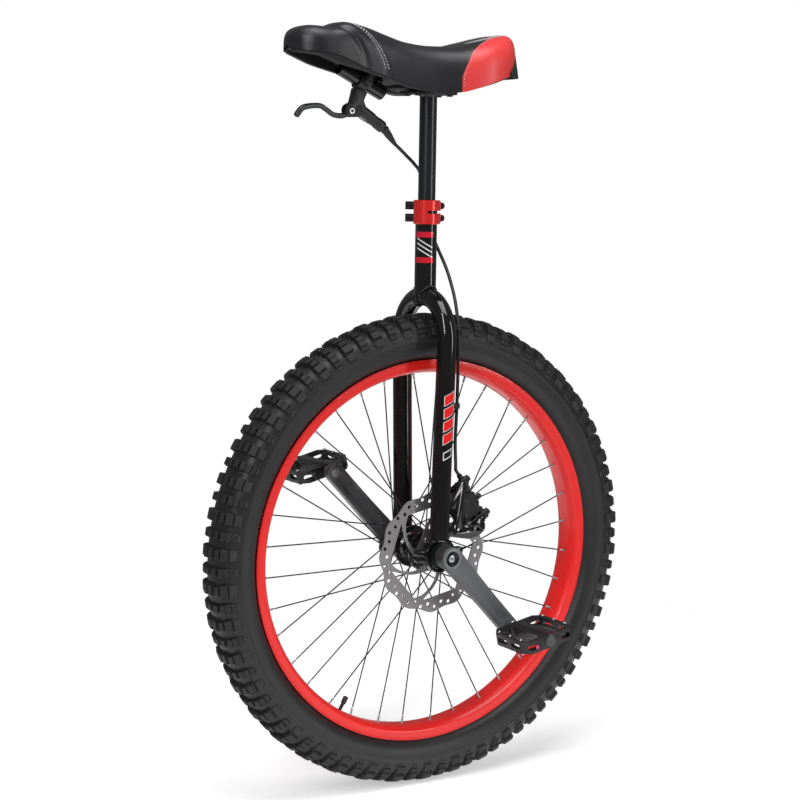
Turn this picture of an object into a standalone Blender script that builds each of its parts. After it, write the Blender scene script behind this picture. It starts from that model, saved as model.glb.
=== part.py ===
"""A 26 inch unicycle with a disc brake, modelled as its separate parts.

Metres, +Z up. The origin is on the ground under the axle, +X is the rider's front and +Y the
rider's left. Heights of the parts are measured from the axle, which every piece hangs on
through the empty "axle_centre".
"""

import math

import bmesh
import bpy
from mathutils import Matrix, Vector

# ---------------------------------------------------------------- fits
GAP = 0.0003                  # between faces that touch
RUNNING = 0.0006              # radial room of a turning or sliding fit
ROUND = 64                    # sides of the rim, the tyre and the rim's hollow

# ---------------------------------------------------------------- wheel
TYRE_RADIUS = 0.352
TYRE_HALF_WIDTH = 0.037
TYRE_WALL = 0.0020
TREAD_THICKNESS = 0.0040
RIM_RADIUS = 0.2855
RIM_HALF_WIDTH = 0.0235
RIM_WALL = 0.0023
BEAD_DEPTH = 0.006
RIM_WELL_RADIUS = 0.2682
RIM_INNER_RADIUS = 0.2655
RIM_WELL_HALF_WIDTH = 0.0125
RIM_SIDE_DEPTH = 0.014
TAPE_THICKNESS = 0.0010
TUBE_RADIUS = 0.0260
TUBE_WALL = 0.0012
VALVE_ANGLE = math.radians(-59.4)
VALVE_RADIUS = 0.0030
VALVE_LENGTH = 0.022
SPOKES_PER_SIDE = 18
SPOKE_RADIUS = 0.0010
SPOKE_CROSS_TURN = math.radians(60)
SPOKE_RIM_OFFSET = 0.003
SPOKE_FLANGE_GAP = 0.0010
FLANGE_RADIUS = 0.0315
FLANGE_THICKNESS = 0.0036
SPOKE_CIRCLE_RADIUS = 0.0285
LEFT_FLANGE_Y = 0.0160
RIGHT_FLANGE_Y = -0.0250
HUB_BARREL_RADIUS = 0.0190
HUB_NECK_RADIUS = 0.0150
HUB_END_Y = 0.0435
AXLE_RADIUS = 0.0110
AXLE_END_Y = 0.0790

# ---------------------------------------------------------------- brake rotor
ROTOR_RADIUS = 0.0885
ROTOR_WAVE = 0.0017
ROTOR_WAVES = 12
ROTOR_RING = 0.0155
ROTOR_THICKNESS = 0.0020
ROTOR_Y = 0.0320
ROTOR_ARMS = 6
ROTOR_ARM_WIDTH = 0.0060
ROTOR_ARM_SWEEP = math.radians(48)
ROTOR_CENTRE_RADIUS = 0.0275
ROTOR_BOSS_RADIUS = 0.0255
ROTOR_SPIGOT_RADIUS = 0.0172

# ---------------------------------------------------------------- bearings and cranks
BEARING_Y = 0.0500
BEARING_WIDTH = 0.0120
BEARING_RADIUS = 0.0210
BEARING_RACE = 0.0036
HOUSING_RADIUS = 0.0255
HOUSING_WIDTH = 0.0150
EAR_REACH = 0.0390
EAR_THICKNESS = 0.0090
EAR_BOLT_X = 0.0325
CAP_BOLT_RADIUS = 0.0025
SPACER_RADIUS = 0.0205
CRANK_LENGTH = 0.1500
CRANK_ANGLE = math.radians(47)
CRANK_FACE_Y = 0.0893
CRANK_THICKNESS = 0.0130
CRANK_BOSS_RADIUS = 0.0175
CRANK_BOSS_LENGTH = 0.0235
CRANK_END_RADIUS = 0.0135
CRANK_BOLT_RADIUS = 0.0107
CRANK_BOLT_HEAD = 0.0042
CRANK_BOLT_SHANK = 0.0055
CRANK_BOLT_LENGTH = 0.0260
PEDAL_THREAD_RADIUS = 0.0070
PEDAL_AXLE_RADIUS = 0.0058
PEDAL_INNER_Y = 0.1045
PEDAL_WIDTH = 0.0910
PEDAL_DEPTH = 0.0870
PEDAL_THICKNESS = 0.0180
PEDAL_BARREL_RADIUS = 0.0125
PEDAL_WINDOW = (0.0225, 0.0600)
PEDAL_RAIL = 0.0070
LEFT_PEDAL_TILT = math.radians(12)
RIGHT_PEDAL_TILT = math.radians(15)

# ---------------------------------------------------------------- frame
SEAT_TUBE_RADIUS = 0.0159
SEAT_TUBE_BOTTOM = 0.3660
SEAT_TUBE_TOP = 0.5140
POST_RADIUS = 0.0127
POST_WALL = 0.0020
POST_BOTTOM = 0.4200
LEG_RADIUS = 0.0143
LEG_WALL = 0.0013
LEG_TOP_Y = 0.0618
CROWN_RADIUS = 0.0620
CROWN_CENTRE_Z = 0.3150
CLAMP_BOTTOM = 0.4820
CLAMP_TOP = 0.5170
CLAMP_RADIUS = 0.0190
CLAMP_SLOT = 0.0045
CLAMP_TURN = math.radians(148.6)
CLAMP_BOLT_OFFSET = 0.0245
CLAMP_BOLT_RADIUS = 0.0030
CLAMP_HEAD_RADIUS = 0.0060
CLAMP_DOME_RADIUS = 0.0050

# ---------------------------------------------------------------- caliper
CALIPER_TURN = math.radians(145)
CALIPER_CENTRE = -0.0296
CALIPER_HALF_LENGTH = 0.0235
CALIPER_LOW = 0.0600
CALIPER_HIGH = 0.1000
CALIPER_INNER_Y = 0.0185
CALIPER_OUTER_Y = 0.0515
CALIPER_BOLT_SPACING = 0.0633
CALIPER_BOLT_Y = 0.0475
CALIPER_BOLT_RADIUS = 0.0029
CALIPER_HEAD_RADIUS = 0.0050
CALIPER_EAR = 0.0092
CALIPER_EAR_HALF = 0.0078
INLET_LENGTH = 0.0070
PAD_THICKNESS = 0.0040
PAD_CLEARANCE = 0.0005
PAD_LENGTH = 0.0250
PAD_DEPTH = 0.0200
PAD_CENTRE = 0.0720
BRACKET_INNER_Y = 0.0530
BRACKET_OUTER_Y = 0.0590
HOSE_RADIUS = 0.0025
UPPER_CLIP_Z = 0.3350
LOWER_CLIP_Z = 0.2200
CLIP_HEIGHT = 0.0080

# ---------------------------------------------------------------- saddle
COVER_THICKNESS = 0.0015
BASE_THICKNESS = 0.0040
BASE_SKIRT = 0.0080
BUMPER_THICKNESS = 0.0050
BUMPER_LOW = 0.6950
BUMPER_HIGH = 0.7330
BUMPER_FRONT_X = -0.0980
PLATE_LENGTH = 0.0720
PLATE_WIDTH = 0.0440
PLATE_THICKNESS = 0.0045

# ---------------------------------------------------------------- brake lever
BAR_RADIUS = 0.0111
BAR_WALL = 0.0016
BAR_REAR = Vector((0.0775, 0.0, 0.6680))
BAR_FRONT = Vector((0.1483, 0.0, 0.7017))
LEVER_CLAMP_AT = 0.49
LEVER_CLAMP_RADIUS = 0.0152
LEVER_CLAMP_WIDTH = 0.0150
LEVER_BOLT_Y = 0.0185
LEVER_PIVOT = Vector((0.1322, 0.0, 0.6410))
LEVER_HUB_RADIUS = 0.0072
LEVER_THICKNESS = 0.0074
LEVER_BLADE_RADIUS = 0.0044
PIVOT_RADIUS = 0.0025
PIVOT_LENGTH = 0.0190
MASTER_HALF_WIDTH = 0.0080
MASTER_RADIUS = 0.0088
MASTER_TOP = Vector((0.1210, 0.0, 0.6475))
MASTER_END = Vector((0.0760, 0.0, 0.6190))
PISTON_RADIUS = 0.0045
PISTON_LENGTH = 0.0200
BOOT_LENGTH = 0.0235

# Stations along the saddle: place, half width, top, cover's lower edge, base's underside, skirt.
SADDLE_STATIONS = (
    (-0.1310, 0.0240, 0.7490, 0.7060, 0.7040, 0.7020),
    (-0.1240, 0.0400, 0.7580, 0.7010, 0.7030, 0.7000),
    (-0.1120, 0.0560, 0.7590, 0.6985, 0.7010, 0.6975),
    (-0.0950, 0.0690, 0.7560, 0.6960, 0.6960, 0.6940),
    (-0.0600, 0.0775, 0.7475, 0.6850, 0.6860, 0.6830),
    (-0.0200, 0.0720, 0.7385, 0.6720, 0.6760, 0.6725),
    (0.0200, 0.0630, 0.7372, 0.6680, 0.6735, 0.6700),
    (0.0600, 0.0550, 0.7415, 0.6765, 0.6800, 0.6745),
    (0.0900, 0.0500, 0.7500, 0.6870, 0.6930, 0.6840),
    (0.1200, 0.0475, 0.7590, 0.6955, 0.7070, 0.6920),
    (0.1500, 0.0465, 0.7640, 0.7070, 0.7165, 0.6990),
    (0.1780, 0.0455, 0.7560, 0.7165, 0.7190, 0.7060),
    (0.2050, 0.0410, 0.7565, 0.7195, 0.7210, 0.7150),
    (0.2220, 0.0290, 0.7510, 0.7205, 0.7225, 0.7185),
    (0.2310, 0.0120, 0.7420, 0.7230, 0.7235, 0.7210),
)

# The lever's centre line from its hub to the tip, and the hose from its boot to the caliper.
LEVER_PATH = (
    (0.1322, 0.6410), (0.1422, 0.6345), (0.1574, 0.6351), (0.1698, 0.6422),
    (0.1795, 0.6468), (0.1954, 0.6461), (0.2080, 0.6426), (0.2160, 0.6335),
)
HOSE_ROUTE = (
    (0.0555, 0.0000, 0.5965), (0.0420, -0.0040, 0.5876), (0.0260, -0.0110, 0.5780),
    (0.0100, -0.0200, 0.5690), (-0.0060, -0.0290, 0.5560), (-0.0170, -0.0350, 0.5250),
    (-0.0230, -0.0350, 0.4900), (-0.0280, -0.0270, 0.4650), (-0.0300, -0.0120, 0.4430),
    (-0.0300, 0.0080, 0.4200), (-0.0270, 0.0290, 0.3950), (-0.0225, 0.0480, 0.3690),
    (-0.0205, 0.0590, 0.3350), (-0.0205, 0.0610, 0.2820), (-0.0205, 0.0600, 0.2200),
    (-0.0215, 0.0560, 0.1700), (-0.0270, 0.0500, 0.1320),
)

COLLECTION = "unicycle"
CUTTERS = "cutters"


# ---------------------------------------------------------------- helpers
def clear_scene():
    for obj in list(bpy.data.objects):
        bpy.data.objects.remove(obj)


def collection(name):
    if name not in bpy.data.collections:
        bpy.context.scene.collection.children.link(bpy.data.collections.new(name))
    return bpy.data.collections[name]


def material(name, colour, roughness, metallic=0.0):
    if name in bpy.data.materials:
        return bpy.data.materials[name]
    made = bpy.data.materials.new(name)
    made.use_nodes = True
    shader = made.node_tree.nodes["Principled BSDF"]
    shader.inputs["Base Color"].default_value = (*colour, 1.0)
    shader.inputs["Roughness"].default_value = roughness
    shader.inputs["Metallic"].default_value = metallic
    return made


def gloss_black(name):
    return material(name + "_paint", (0.012, 0.012, 0.013), 0.22)


def satin_black(name):
    return material(name + "_satin", (0.02, 0.02, 0.021), 0.45)


def red(name):
    return material(name + "_red", (0.78, 0.022, 0.018), 0.3)


def steel(name):
    return material(name + "_steel", (0.5, 0.5, 0.52), 0.32, 1.0)


def grey(name):
    return material(name + "_grey", (0.12, 0.12, 0.125), 0.4, 0.6)


def rubber(name):
    return material(name + "_rubber", (0.03, 0.03, 0.031), 0.75)


def vinyl(name):
    return material(name + "_vinyl", (0.022, 0.022, 0.025), 0.4)


def place(obj, parent, matrix=None, group=COLLECTION):
    """Links an object, hangs it on its parent and gives it its place there."""
    for old in list(obj.users_collection):
        old.objects.unlink(obj)
    collection(group).objects.link(obj)
    obj.parent = parent
    obj.matrix_local = matrix or Matrix()
    if group == CUTTERS:
        obj.hide_render = True
        obj.display_type = "WIRE"
    return obj


def finish(obj, surface, parent, matrix=None, smooth=True):
    obj.data.materials.clear()
    obj.data.materials.append(surface)
    place(obj, parent, matrix)
    if smooth and obj.type == "MESH":
        obj.data.shade_smooth()
        obj.data.set_sharp_from_angle(angle=math.radians(35))
    return obj


def empty(name, parent, location):
    made = bpy.data.objects.new(name, None)
    made.empty_display_size = 0.03
    return place(made, parent, Matrix.Translation(location))


def mesh_object(name, shape):
    data = bpy.data.meshes.new(name)
    shape.to_mesh(data)
    shape.free()
    return bpy.data.objects.new(name, data)


def box(name, low, high):
    low, high = Vector(low), Vector(high)
    shape = bmesh.new()
    size = Matrix.Diagonal((*(high - low), 1.0))
    bmesh.ops.create_cube(shape, size=1.0, matrix=Matrix.Translation((low + high) / 2) @ size)
    return mesh_object(name, shape)


def along(start, end, turn=0.0):
    """The placing that runs local Z from start towards end, with its origin half way."""
    start, end = Vector(start), Vector(end)
    turned = (end - start).to_track_quat("Z", "Y").to_matrix().to_4x4()
    return Matrix.Translation((start + end) / 2) @ turned @ Matrix.Rotation(turn, 4, "Z")


def rod(name, start, end, radius, sides=20, end_radius=None):
    shape = bmesh.new()
    length = (Vector(end) - Vector(start)).length
    bmesh.ops.create_cone(
        shape, cap_ends=True, segments=sides, radius1=radius,
        radius2=radius if end_radius is None else end_radius,
        depth=length, matrix=along(start, end),
    )
    return mesh_object(name, shape)


def turned(name, profile, sides=24, ring=False):
    """A solid of revolution about local Z from (radius, height) points."""
    points = list(profile)
    area = sum(a[0] * b[1] - b[0] * a[1] for a, b in zip(points, points[1:] + points[:1]))
    if area > 0:
        points.reverse()
    shape = bmesh.new()
    corners = [shape.verts.new((radius, 0.0, height)) for radius, height in points]
    for first, second in zip(corners, corners[1:] + corners[:1] if ring else corners[1:]):
        shape.edges.new((first, second))
    made = mesh_object(name, shape)
    screw = made.modifiers.new("turn", "SCREW")
    screw.steps = screw.render_steps = sides
    screw.use_merge_vertices = True
    screw.merge_threshold = 0.00001
    return made


def outline(name, points, thickness, holes=()):
    """A flat plate in local XY, centred on it, from a closed outline and its holes."""
    curve = bpy.data.curves.new(name, "CURVE")
    curve.dimensions = "2D"
    curve.fill_mode = "BOTH"
    curve.extrude = thickness / 2
    for loop in (points, *holes):
        spline = curve.splines.new("POLY")
        spline.points.add(len(loop) - 1)
        for point, (x, y) in zip(spline.points, loop):
            point.co = (x, y, 0.0, 1.0)
        spline.use_cyclic_u = True
    return as_mesh(bpy.data.objects.new(name, curve))


def tube(name, points, radius, resolution=4):
    curve = bpy.data.curves.new(name, "CURVE")
    curve.dimensions = "3D"
    curve.bevel_depth = radius
    curve.bevel_resolution = resolution
    curve.use_fill_caps = True
    spline = curve.splines.new("POLY")
    spline.points.add(len(points) - 1)
    for point, where in zip(spline.points, points):
        point.co = (*where, 1.0)
    return bpy.data.objects.new(name, curve)


def as_mesh(obj):
    """Turns a curve object into a mesh one whose caps are welded to its sides."""
    bpy.context.scene.collection.objects.link(obj)
    graph = bpy.context.evaluated_depsgraph_get()
    data = bpy.data.meshes.new_from_object(obj.evaluated_get(graph))
    name, matrix = obj.name, obj.matrix_world.copy()
    bpy.data.objects.remove(obj)
    shape = bmesh.new()
    shape.from_mesh(data)
    bmesh.ops.remove_doubles(shape, verts=shape.verts, dist=0.00001)
    bmesh.ops.recalc_face_normals(shape, faces=shape.faces)
    shape.to_mesh(data)
    shape.free()
    made = bpy.data.objects.new(name, data)
    made.matrix_world = matrix
    return made


def baked(obj):
    """The object with its modifiers applied, so that it can be cut or joined again."""
    graph = bpy.context.evaluated_depsgraph_get()
    data = bpy.data.meshes.new_from_object(obj.evaluated_get(graph))
    obj.modifiers.clear()
    obj.data = data
    return obj


def combine(obj, others, operation, solver="EXACT"):
    """Joins to or cuts from obj each of the others, given in the same local space."""
    scene = bpy.context.scene.collection
    for item in (obj, *others):
        if not item.users_collection:
            scene.objects.link(item)
    for number, other in enumerate(others):
        step = obj.modifiers.new(f"{operation.lower()} {number}", "BOOLEAN")
        step.operation = operation
        step.object = other
        step.solver = solver
    bpy.context.view_layer.update()
    baked(obj)
    for other in others:
        bpy.data.objects.remove(other)
    return obj


def join(obj, *others):
    return combine(obj, others, "UNION")


def cut(obj, *others, solver="EXACT"):
    return combine(obj, others, "DIFFERENCE", solver)


def ring_points(radius, count, centre=(0.0, 0.0), start=0.0):
    step = math.tau / count
    return [
        (centre[0] + radius * math.cos(start + step * i), centre[1] + radius * math.sin(start + step * i))
        for i in range(count)
    ]


def smooth_path(route, steps=3):
    """A Catmull-Rom curve through the route's points."""
    points = [Vector(p) for p in route]
    padded = [2 * points[0] - points[1], *points, 2 * points[-1] - points[-2]]
    found = []
    for a, b, c, d in zip(padded, padded[1:], padded[2:], padded[3:]):
        for i in range(steps):
            t = i / steps
            found.append(
                0.5 * (2 * b + (c - a) * t + (2 * a - 5 * b + 4 * c - d) * t**2 + (3 * b - a - 3 * c + d) * t**3)
            )
    return [*found, points[-1]]


# Local Z to world +Y or -Y, for pieces turned about the axle.
ACROSS = Matrix.Rotation(-math.pi / 2, 4, "X")
ACROSS_RIGHT = Matrix.Rotation(math.pi / 2, 4, "X")
# Local X, Y to world X, Z, for flat plates that stand along the wheel.
UPRIGHT = Matrix.Rotation(math.pi / 2, 4, "X")


def facing(side):
    """Local Z to the outside of the left (1) or the right (-1)."""
    return ACROSS if side > 0 else ACROSS_RIGHT


# ---------------------------------------------------------------- wheel
def tyre_profile():
    bead = RIM_RADIUS - BEAD_DEPTH + GAP
    edge = RIM_HALF_WIDTH - RIM_WALL - GAP
    wide = TYRE_HALF_WIDTH
    outer = [
        (bead, edge), (RIM_RADIUS + GAP, edge), (RIM_RADIUS + 0.0025, RIM_HALF_WIDTH),
        (RIM_RADIUS + 0.0120, wide * 0.92), (RIM_RADIUS + 0.0290, wide),
        (TYRE_RADIUS - 0.0090, wide * 0.86),
        (TYRE_RADIUS, wide * 0.38),
    ]
    wall = TYRE_WALL
    inner = [
        (bead, edge - 0.0050), (RIM_RADIUS + 0.0020, edge - 0.0045),
        (RIM_RADIUS + 0.0130, wide * 0.92 - wall), (RIM_RADIUS + 0.0300, wide - wall),
        (TYRE_RADIUS - 0.0110, wide * 0.84 - wall),
        (TYRE_RADIUS - TREAD_THICKNESS, wide * 0.42),
    ]
    right = [(r, -y) for r, y in reversed(outer)] + [(r, -y) for r, y in inner]
    return outer + right + list(reversed(inner))


def rim_profile():
    edge, wall = RIM_HALF_WIDTH, RIM_WALL
    seat = RIM_RADIUS - BEAD_DEPTH
    outer = [
        (RIM_RADIUS, edge), (RIM_RADIUS, edge - wall), (seat, edge - wall),
        (seat - 0.0010, RIM_WELL_HALF_WIDTH + 0.0045), (RIM_WELL_RADIUS, RIM_WELL_HALF_WIDTH),
    ]
    inner = [(RIM_INNER_RADIUS, edge * 0.53), (RIM_RADIUS - RIM_SIDE_DEPTH, edge)]
    mirrored = [(r, -y) for r, y in reversed(outer)]
    return outer + mirrored + [(r, -y) for r, y in reversed(inner)] + inner


def valve_point(radius):
    return Vector((radius * math.cos(VALVE_ANGLE), 0.0, radius * math.sin(VALVE_ANGLE)))


def valve_cutter(room):
    start, end = valve_point(RIM_INNER_RADIUS - 0.02), valve_point(RIM_RADIUS + 0.008)
    return rod("valve_cutter", start, end, VALVE_RADIUS + room, sides=12)


def make_rim_and_tyre(wheel):
    tyre = turned("tyre", tyre_profile(), ROUND, ring=True)
    finish(tyre, rubber("tyre"), wheel, ACROSS)
    rim = turned("rim", rim_profile(), ROUND, ring=True)
    bpy.context.scene.collection.objects.link(rim)
    baked(rim).data.transform(ACROSS)
    finish(cut(rim, valve_cutter(GAP)), red("rim"), wheel)


def make_rim_tape(wheel):
    """The strip in the bottom of the rim that covers the ends of the spokes' nipples."""
    low, half = RIM_WELL_RADIUS + GAP, RIM_WELL_HALF_WIDTH - GAP * 2
    high = low + TAPE_THICKNESS
    tape = turned("rim_tape", [(high, -half), (high, half), (low, half), (low, -half)], ROUND, ring=True)
    bpy.context.scene.collection.objects.link(tape)
    baked(tape).data.transform(ACROSS)
    finish(cut(tape, valve_cutter(GAP)), rubber("rim_tape"), wheel)


def make_inner_tube(wheel):
    centre = (RIM_RADIUS - BEAD_DEPTH + TYRE_RADIUS - TREAD_THICKNESS) / 2
    bpy.ops.mesh.primitive_torus_add(
        major_radius=centre, minor_radius=TUBE_RADIUS, major_segments=36, minor_segments=8
    )
    air = bpy.context.object
    air.name = "inner_tube"
    wall = air.modifiers.new("wall", "SOLIDIFY")
    wall.thickness = TUBE_WALL
    wall.offset = -1.0
    bpy.context.view_layer.update()
    baked(air).data.transform(ACROSS)
    inside = centre - TUBE_RADIUS
    hole = rod(
        "tube_valve_cutter", valve_point(inside - 0.004), valve_point(inside + 0.006),
        VALVE_RADIUS + GAP, sides=12,
    )
    finish(cut(air, hole), rubber("inner_tube"), wheel)


def make_valve(wheel):
    """The stem, from inside the tube through the rim, with its cap's step."""
    start = (RIM_RADIUS - BEAD_DEPTH + TYRE_RADIUS - TREAD_THICKNESS) / 2 - TUBE_RADIUS
    length = start - RIM_INNER_RADIUS + VALVE_LENGTH
    profile = [
        (0.0, 0.0), (VALVE_RADIUS, 0.0), (VALVE_RADIUS, length - 0.0100), (VALVE_RADIUS * 1.25, length - 0.0095),
        (VALVE_RADIUS * 1.15, length - 0.0010), (VALVE_RADIUS * 0.7, length), (0.0, length),
    ]
    inward = (-valve_point(1.0)).to_track_quat("Z", "Y").to_matrix().to_4x4()
    valve = turned("valve_stem", profile, 12)
    finish(valve, rubber("valve_stem"), wheel, Matrix.Translation(valve_point(start)) @ inward)


def wheel_point(radius, angle, y):
    return Vector((radius * math.cos(angle), y, radius * math.sin(angle)))


def make_spokes(wheel, side):
    """One side's eighteen spokes, joined where the leading ones cross the trailing ones."""
    flange = LEFT_FLANGE_Y if side > 0 else RIGHT_FLANGE_Y
    hub_y = flange + side * (FLANGE_THICKNESS / 2 + SPOKE_FLANGE_GAP + SPOKE_RADIUS)
    half_step = math.pi / SPOKES_PER_SIDE
    first = VALVE_ANGLE + half_step / 2 * (1 if side > 0 else 3)
    sets = []
    for leading in (0, 1):
        shape = bmesh.new()
        for number in range(leading, SPOKES_PER_SIDE, 2):
            angle = first + number * 2 * half_step
            turn = SPOKE_CROSS_TURN if leading else -SPOKE_CROSS_TURN
            start = wheel_point(SPOKE_CIRCLE_RADIUS, angle, hub_y)
            end = wheel_point(RIM_INNER_RADIUS - 0.0010, angle + turn, side * SPOKE_RIM_OFFSET)
            bmesh.ops.create_cone(
                shape, cap_ends=True, segments=6, radius1=SPOKE_RADIUS, radius2=SPOKE_RADIUS,
                depth=(end - start).length, matrix=along(start, end),
            )
        sets.append(mesh_object(("left" if side > 0 else "right") + "_spokes", shape))
    finish(join(*sets), satin_black("spokes"), wheel, smooth=False)


def make_hub(wheel):
    half = FLANGE_THICKNESS / 2
    left, right = LEFT_FLANGE_Y, RIGHT_FLANGE_Y
    rotor_face = ROTOR_Y - ROTOR_THICKNESS / 2 - GAP
    bore = AXLE_RADIUS + GAP
    profile = [
        (bore, HUB_END_Y), (HUB_NECK_RADIUS, HUB_END_Y), (HUB_NECK_RADIUS, ROTOR_Y + 0.0025),
        (ROTOR_SPIGOT_RADIUS, ROTOR_Y + 0.0020), (ROTOR_SPIGOT_RADIUS, rotor_face),
        (ROTOR_BOSS_RADIUS, rotor_face), (ROTOR_BOSS_RADIUS, left + half),
        (FLANGE_RADIUS, left + half), (FLANGE_RADIUS, left - half), (HUB_BARREL_RADIUS, left - half),
        (HUB_BARREL_RADIUS, right + half), (FLANGE_RADIUS, right + half), (FLANGE_RADIUS, right - half),
        (HUB_BARREL_RADIUS, right - half), (HUB_NECK_RADIUS, right - 0.0080),
        (HUB_NECK_RADIUS, -HUB_END_Y), (bore, -HUB_END_Y),
    ]
    finish(turned("hub_shell", profile, 24, ring=True), gloss_black("hub"), wheel, ACROSS)


def make_axle(wheel):
    hole, depth = CRANK_BOLT_SHANK + GAP, CRANK_BOLT_LENGTH
    half = [
        (0.0, AXLE_END_Y - depth), (hole, AXLE_END_Y - depth), (hole, AXLE_END_Y),
        (AXLE_RADIUS, AXLE_END_Y),
    ]
    profile = [*half, *[(r, -y) for r, y in reversed(half)]]
    finish(turned("axle", profile, 24), steel("axle"), wheel, ACROSS)


def make_rotor(wheel):
    """The wavy ring and its swept arms; six windows are left between the arms."""
    count = ROTOR_WAVES * 6
    edge = [
        (
            (ROTOR_RADIUS + ROTOR_WAVE * math.cos(ROTOR_WAVES * a)) * math.cos(a),
            (ROTOR_RADIUS + ROTOR_WAVE * math.cos(ROTOR_WAVES * a)) * math.sin(a),
        )
        for a in (math.tau * i / count for i in range(count))
    ]
    inner, outer = ROTOR_CENTRE_RADIUS, ROTOR_RADIUS - ROTOR_RING
    pitch = math.tau / ROTOR_ARMS
    windows = []
    for arm in range(ROTOR_ARMS):
        window = []
        for step in range(6):
            radius = inner + (outer - inner) * step / 5
            window.append((radius, arm * pitch + ROTOR_ARM_SWEEP * step / 5 + ROTOR_ARM_WIDTH / 2 / radius))
        for step in range(5, -1, -1):
            radius = inner + (outer - inner) * step / 5
            window.append((radius, (arm + 1) * pitch + ROTOR_ARM_SWEEP * step / 5 - ROTOR_ARM_WIDTH / 2 / radius))
        windows.append([(r * math.cos(a), r * math.sin(a)) for r, a in window])
    centre = ring_points(ROTOR_SPIGOT_RADIUS + GAP, 24)
    rotor = outline("brake_rotor", edge, ROTOR_THICKNESS, (*windows, centre))
    finish(rotor, steel("rotor"), wheel, Matrix.Translation((0, ROTOR_Y, 0)) @ UPRIGHT, smooth=False)


# ---------------------------------------------------------------- bearings and cranks
def side_name(side):
    return "left" if side > 0 else "right"


def make_bearing(frame, wheel, side):
    low, high = BEARING_Y - BEARING_WIDTH / 2, BEARING_Y + BEARING_WIDTH / 2
    shaft = AXLE_RADIUS + GAP
    inner = shaft + BEARING_RACE
    rings = [(shaft, low), (inner, low), (inner, high), (shaft, high)]
    race = turned(side_name(side) + "_inner_race", rings, 24, ring=True)
    finish(race, steel("bearing"), wheel, facing(side))
    lip = inner + RUNNING
    outside = BEARING_RADIUS
    seat = outside - BEARING_RACE
    shell = [
        (outside, low), (outside, high), (lip, high), (lip, high - 0.0010), (seat, high - 0.0010),
        (seat, low + 0.0010), (lip, low + 0.0010), (lip, low),
    ]
    race = turned(side_name(side) + "_outer_race", shell, 24, ring=True)
    finish(race, steel("bearing"), frame, facing(side))


def half_housing(name, side, upper):
    """One half of the split bearing housing, with an ear in front and one behind."""
    sign = 1 if upper else -1
    low, high = BEARING_Y - HOUSING_WIDTH / 2, BEARING_Y + HOUSING_WIDTH / 2
    inner = BEARING_RADIUS + GAP
    shell = turned(
        name, [(HOUSING_RADIUS, low), (HOUSING_RADIUS, high), (inner, high), (inner, low)], 32, ring=True
    )
    bpy.context.scene.collection.objects.link(shell)
    baked(shell).data.transform(ACROSS)
    z_low, z_high = sorted((0.0, sign * EAR_THICKNESS))
    ears = [
        box("ear", (x_low, low, z_low), (x_high, high, z_high))
        for x_low, x_high in ((-EAR_REACH, -inner - 0.0010), (inner + 0.0010, EAR_REACH))
    ]
    join(shell, *ears)
    reach = EAR_REACH * 1.2
    away = box("away", (-reach, low - 0.01, -reach), (reach, high + 0.01, GAP / 2))
    if not upper:
        away.data.transform(Matrix.Rotation(math.pi, 4, "Y"))
    holes = [
        rod("hole", (x, BEARING_Y, -reach), (x, BEARING_Y, reach), CAP_BOLT_RADIUS + GAP, sides=12)
        for x in (-EAR_BOLT_X, EAR_BOLT_X)
    ]
    cut(shell, away, *holes)
    if side < 0:
        shell.data.transform(Matrix.Rotation(math.pi, 4, "Z"))
    return shell


def make_housing(frame, side):
    name = side_name(side)
    finish(half_housing(name + "_bearing_housing", side, True), gloss_black("housing"), frame)
    finish(half_housing(name + "_bearing_cap", side, False), gloss_black("cap"), frame)
    head = CAP_BOLT_RADIUS * 1.7
    bottom = -EAR_THICKNESS - GAP
    profile = [
        (0.0, EAR_THICKNESS - 0.0010), (CAP_BOLT_RADIUS, EAR_THICKNESS - 0.0010), (CAP_BOLT_RADIUS, bottom),
        (head, bottom), (head, bottom - 0.0045), (0.0, bottom - 0.0045),
    ]
    for x, end in ((EAR_BOLT_X, "front"), (-EAR_BOLT_X, "rear")):
        bolt = turned(f"{name}_{end}_cap_bolt", profile, 12)
        finish(bolt, steel("cap_bolt"), frame, Matrix.Translation((x, side * BEARING_Y, 0)))


def make_spacer(wheel, side):
    low = BEARING_Y + HOUSING_WIDTH / 2 + GAP
    high = CRANK_FACE_Y - CRANK_BOSS_LENGTH - GAP
    bore = AXLE_RADIUS + GAP
    step = BEARING_Y + BEARING_WIDTH / 2 + GAP
    profile = [
        (bore, step), (bore + BEARING_RACE * 0.7, step), (bore + BEARING_RACE * 0.7, low), (SPACER_RADIUS, low),
        (SPACER_RADIUS, high), (bore, high),
    ]
    spacer = turned(side_name(side) + "_spacer", profile, 24, ring=True)
    finish(spacer, gloss_black("spacer"), wheel, facing(side))


def crank_placing(side):
    """Local X along the arm, local Z outwards, at the axle."""
    arm = Vector((-side * math.cos(CRANK_ANGLE), 0.0, -side * math.sin(CRANK_ANGLE)))
    out = Vector((0.0, side, 0.0))
    return Matrix((arm, out.cross(arm), out)).transposed().to_4x4()


def crank_outline():
    """The arm's outline: two round ends joined by their outer tangents."""
    tilt = math.acos((CRANK_BOSS_RADIUS - CRANK_END_RADIUS) / CRANK_LENGTH)
    points = []
    for centre, radius, start, end in (
        (0.0, CRANK_BOSS_RADIUS * 0.94, tilt, math.tau - tilt),
        (CRANK_LENGTH, CRANK_END_RADIUS, -tilt, tilt),
    ):
        points += [
            (centre + radius * math.cos(a), radius * math.sin(a))
            for a in (start + (end - start) * i / 12 for i in range(13))
        ]
    return points


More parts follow.
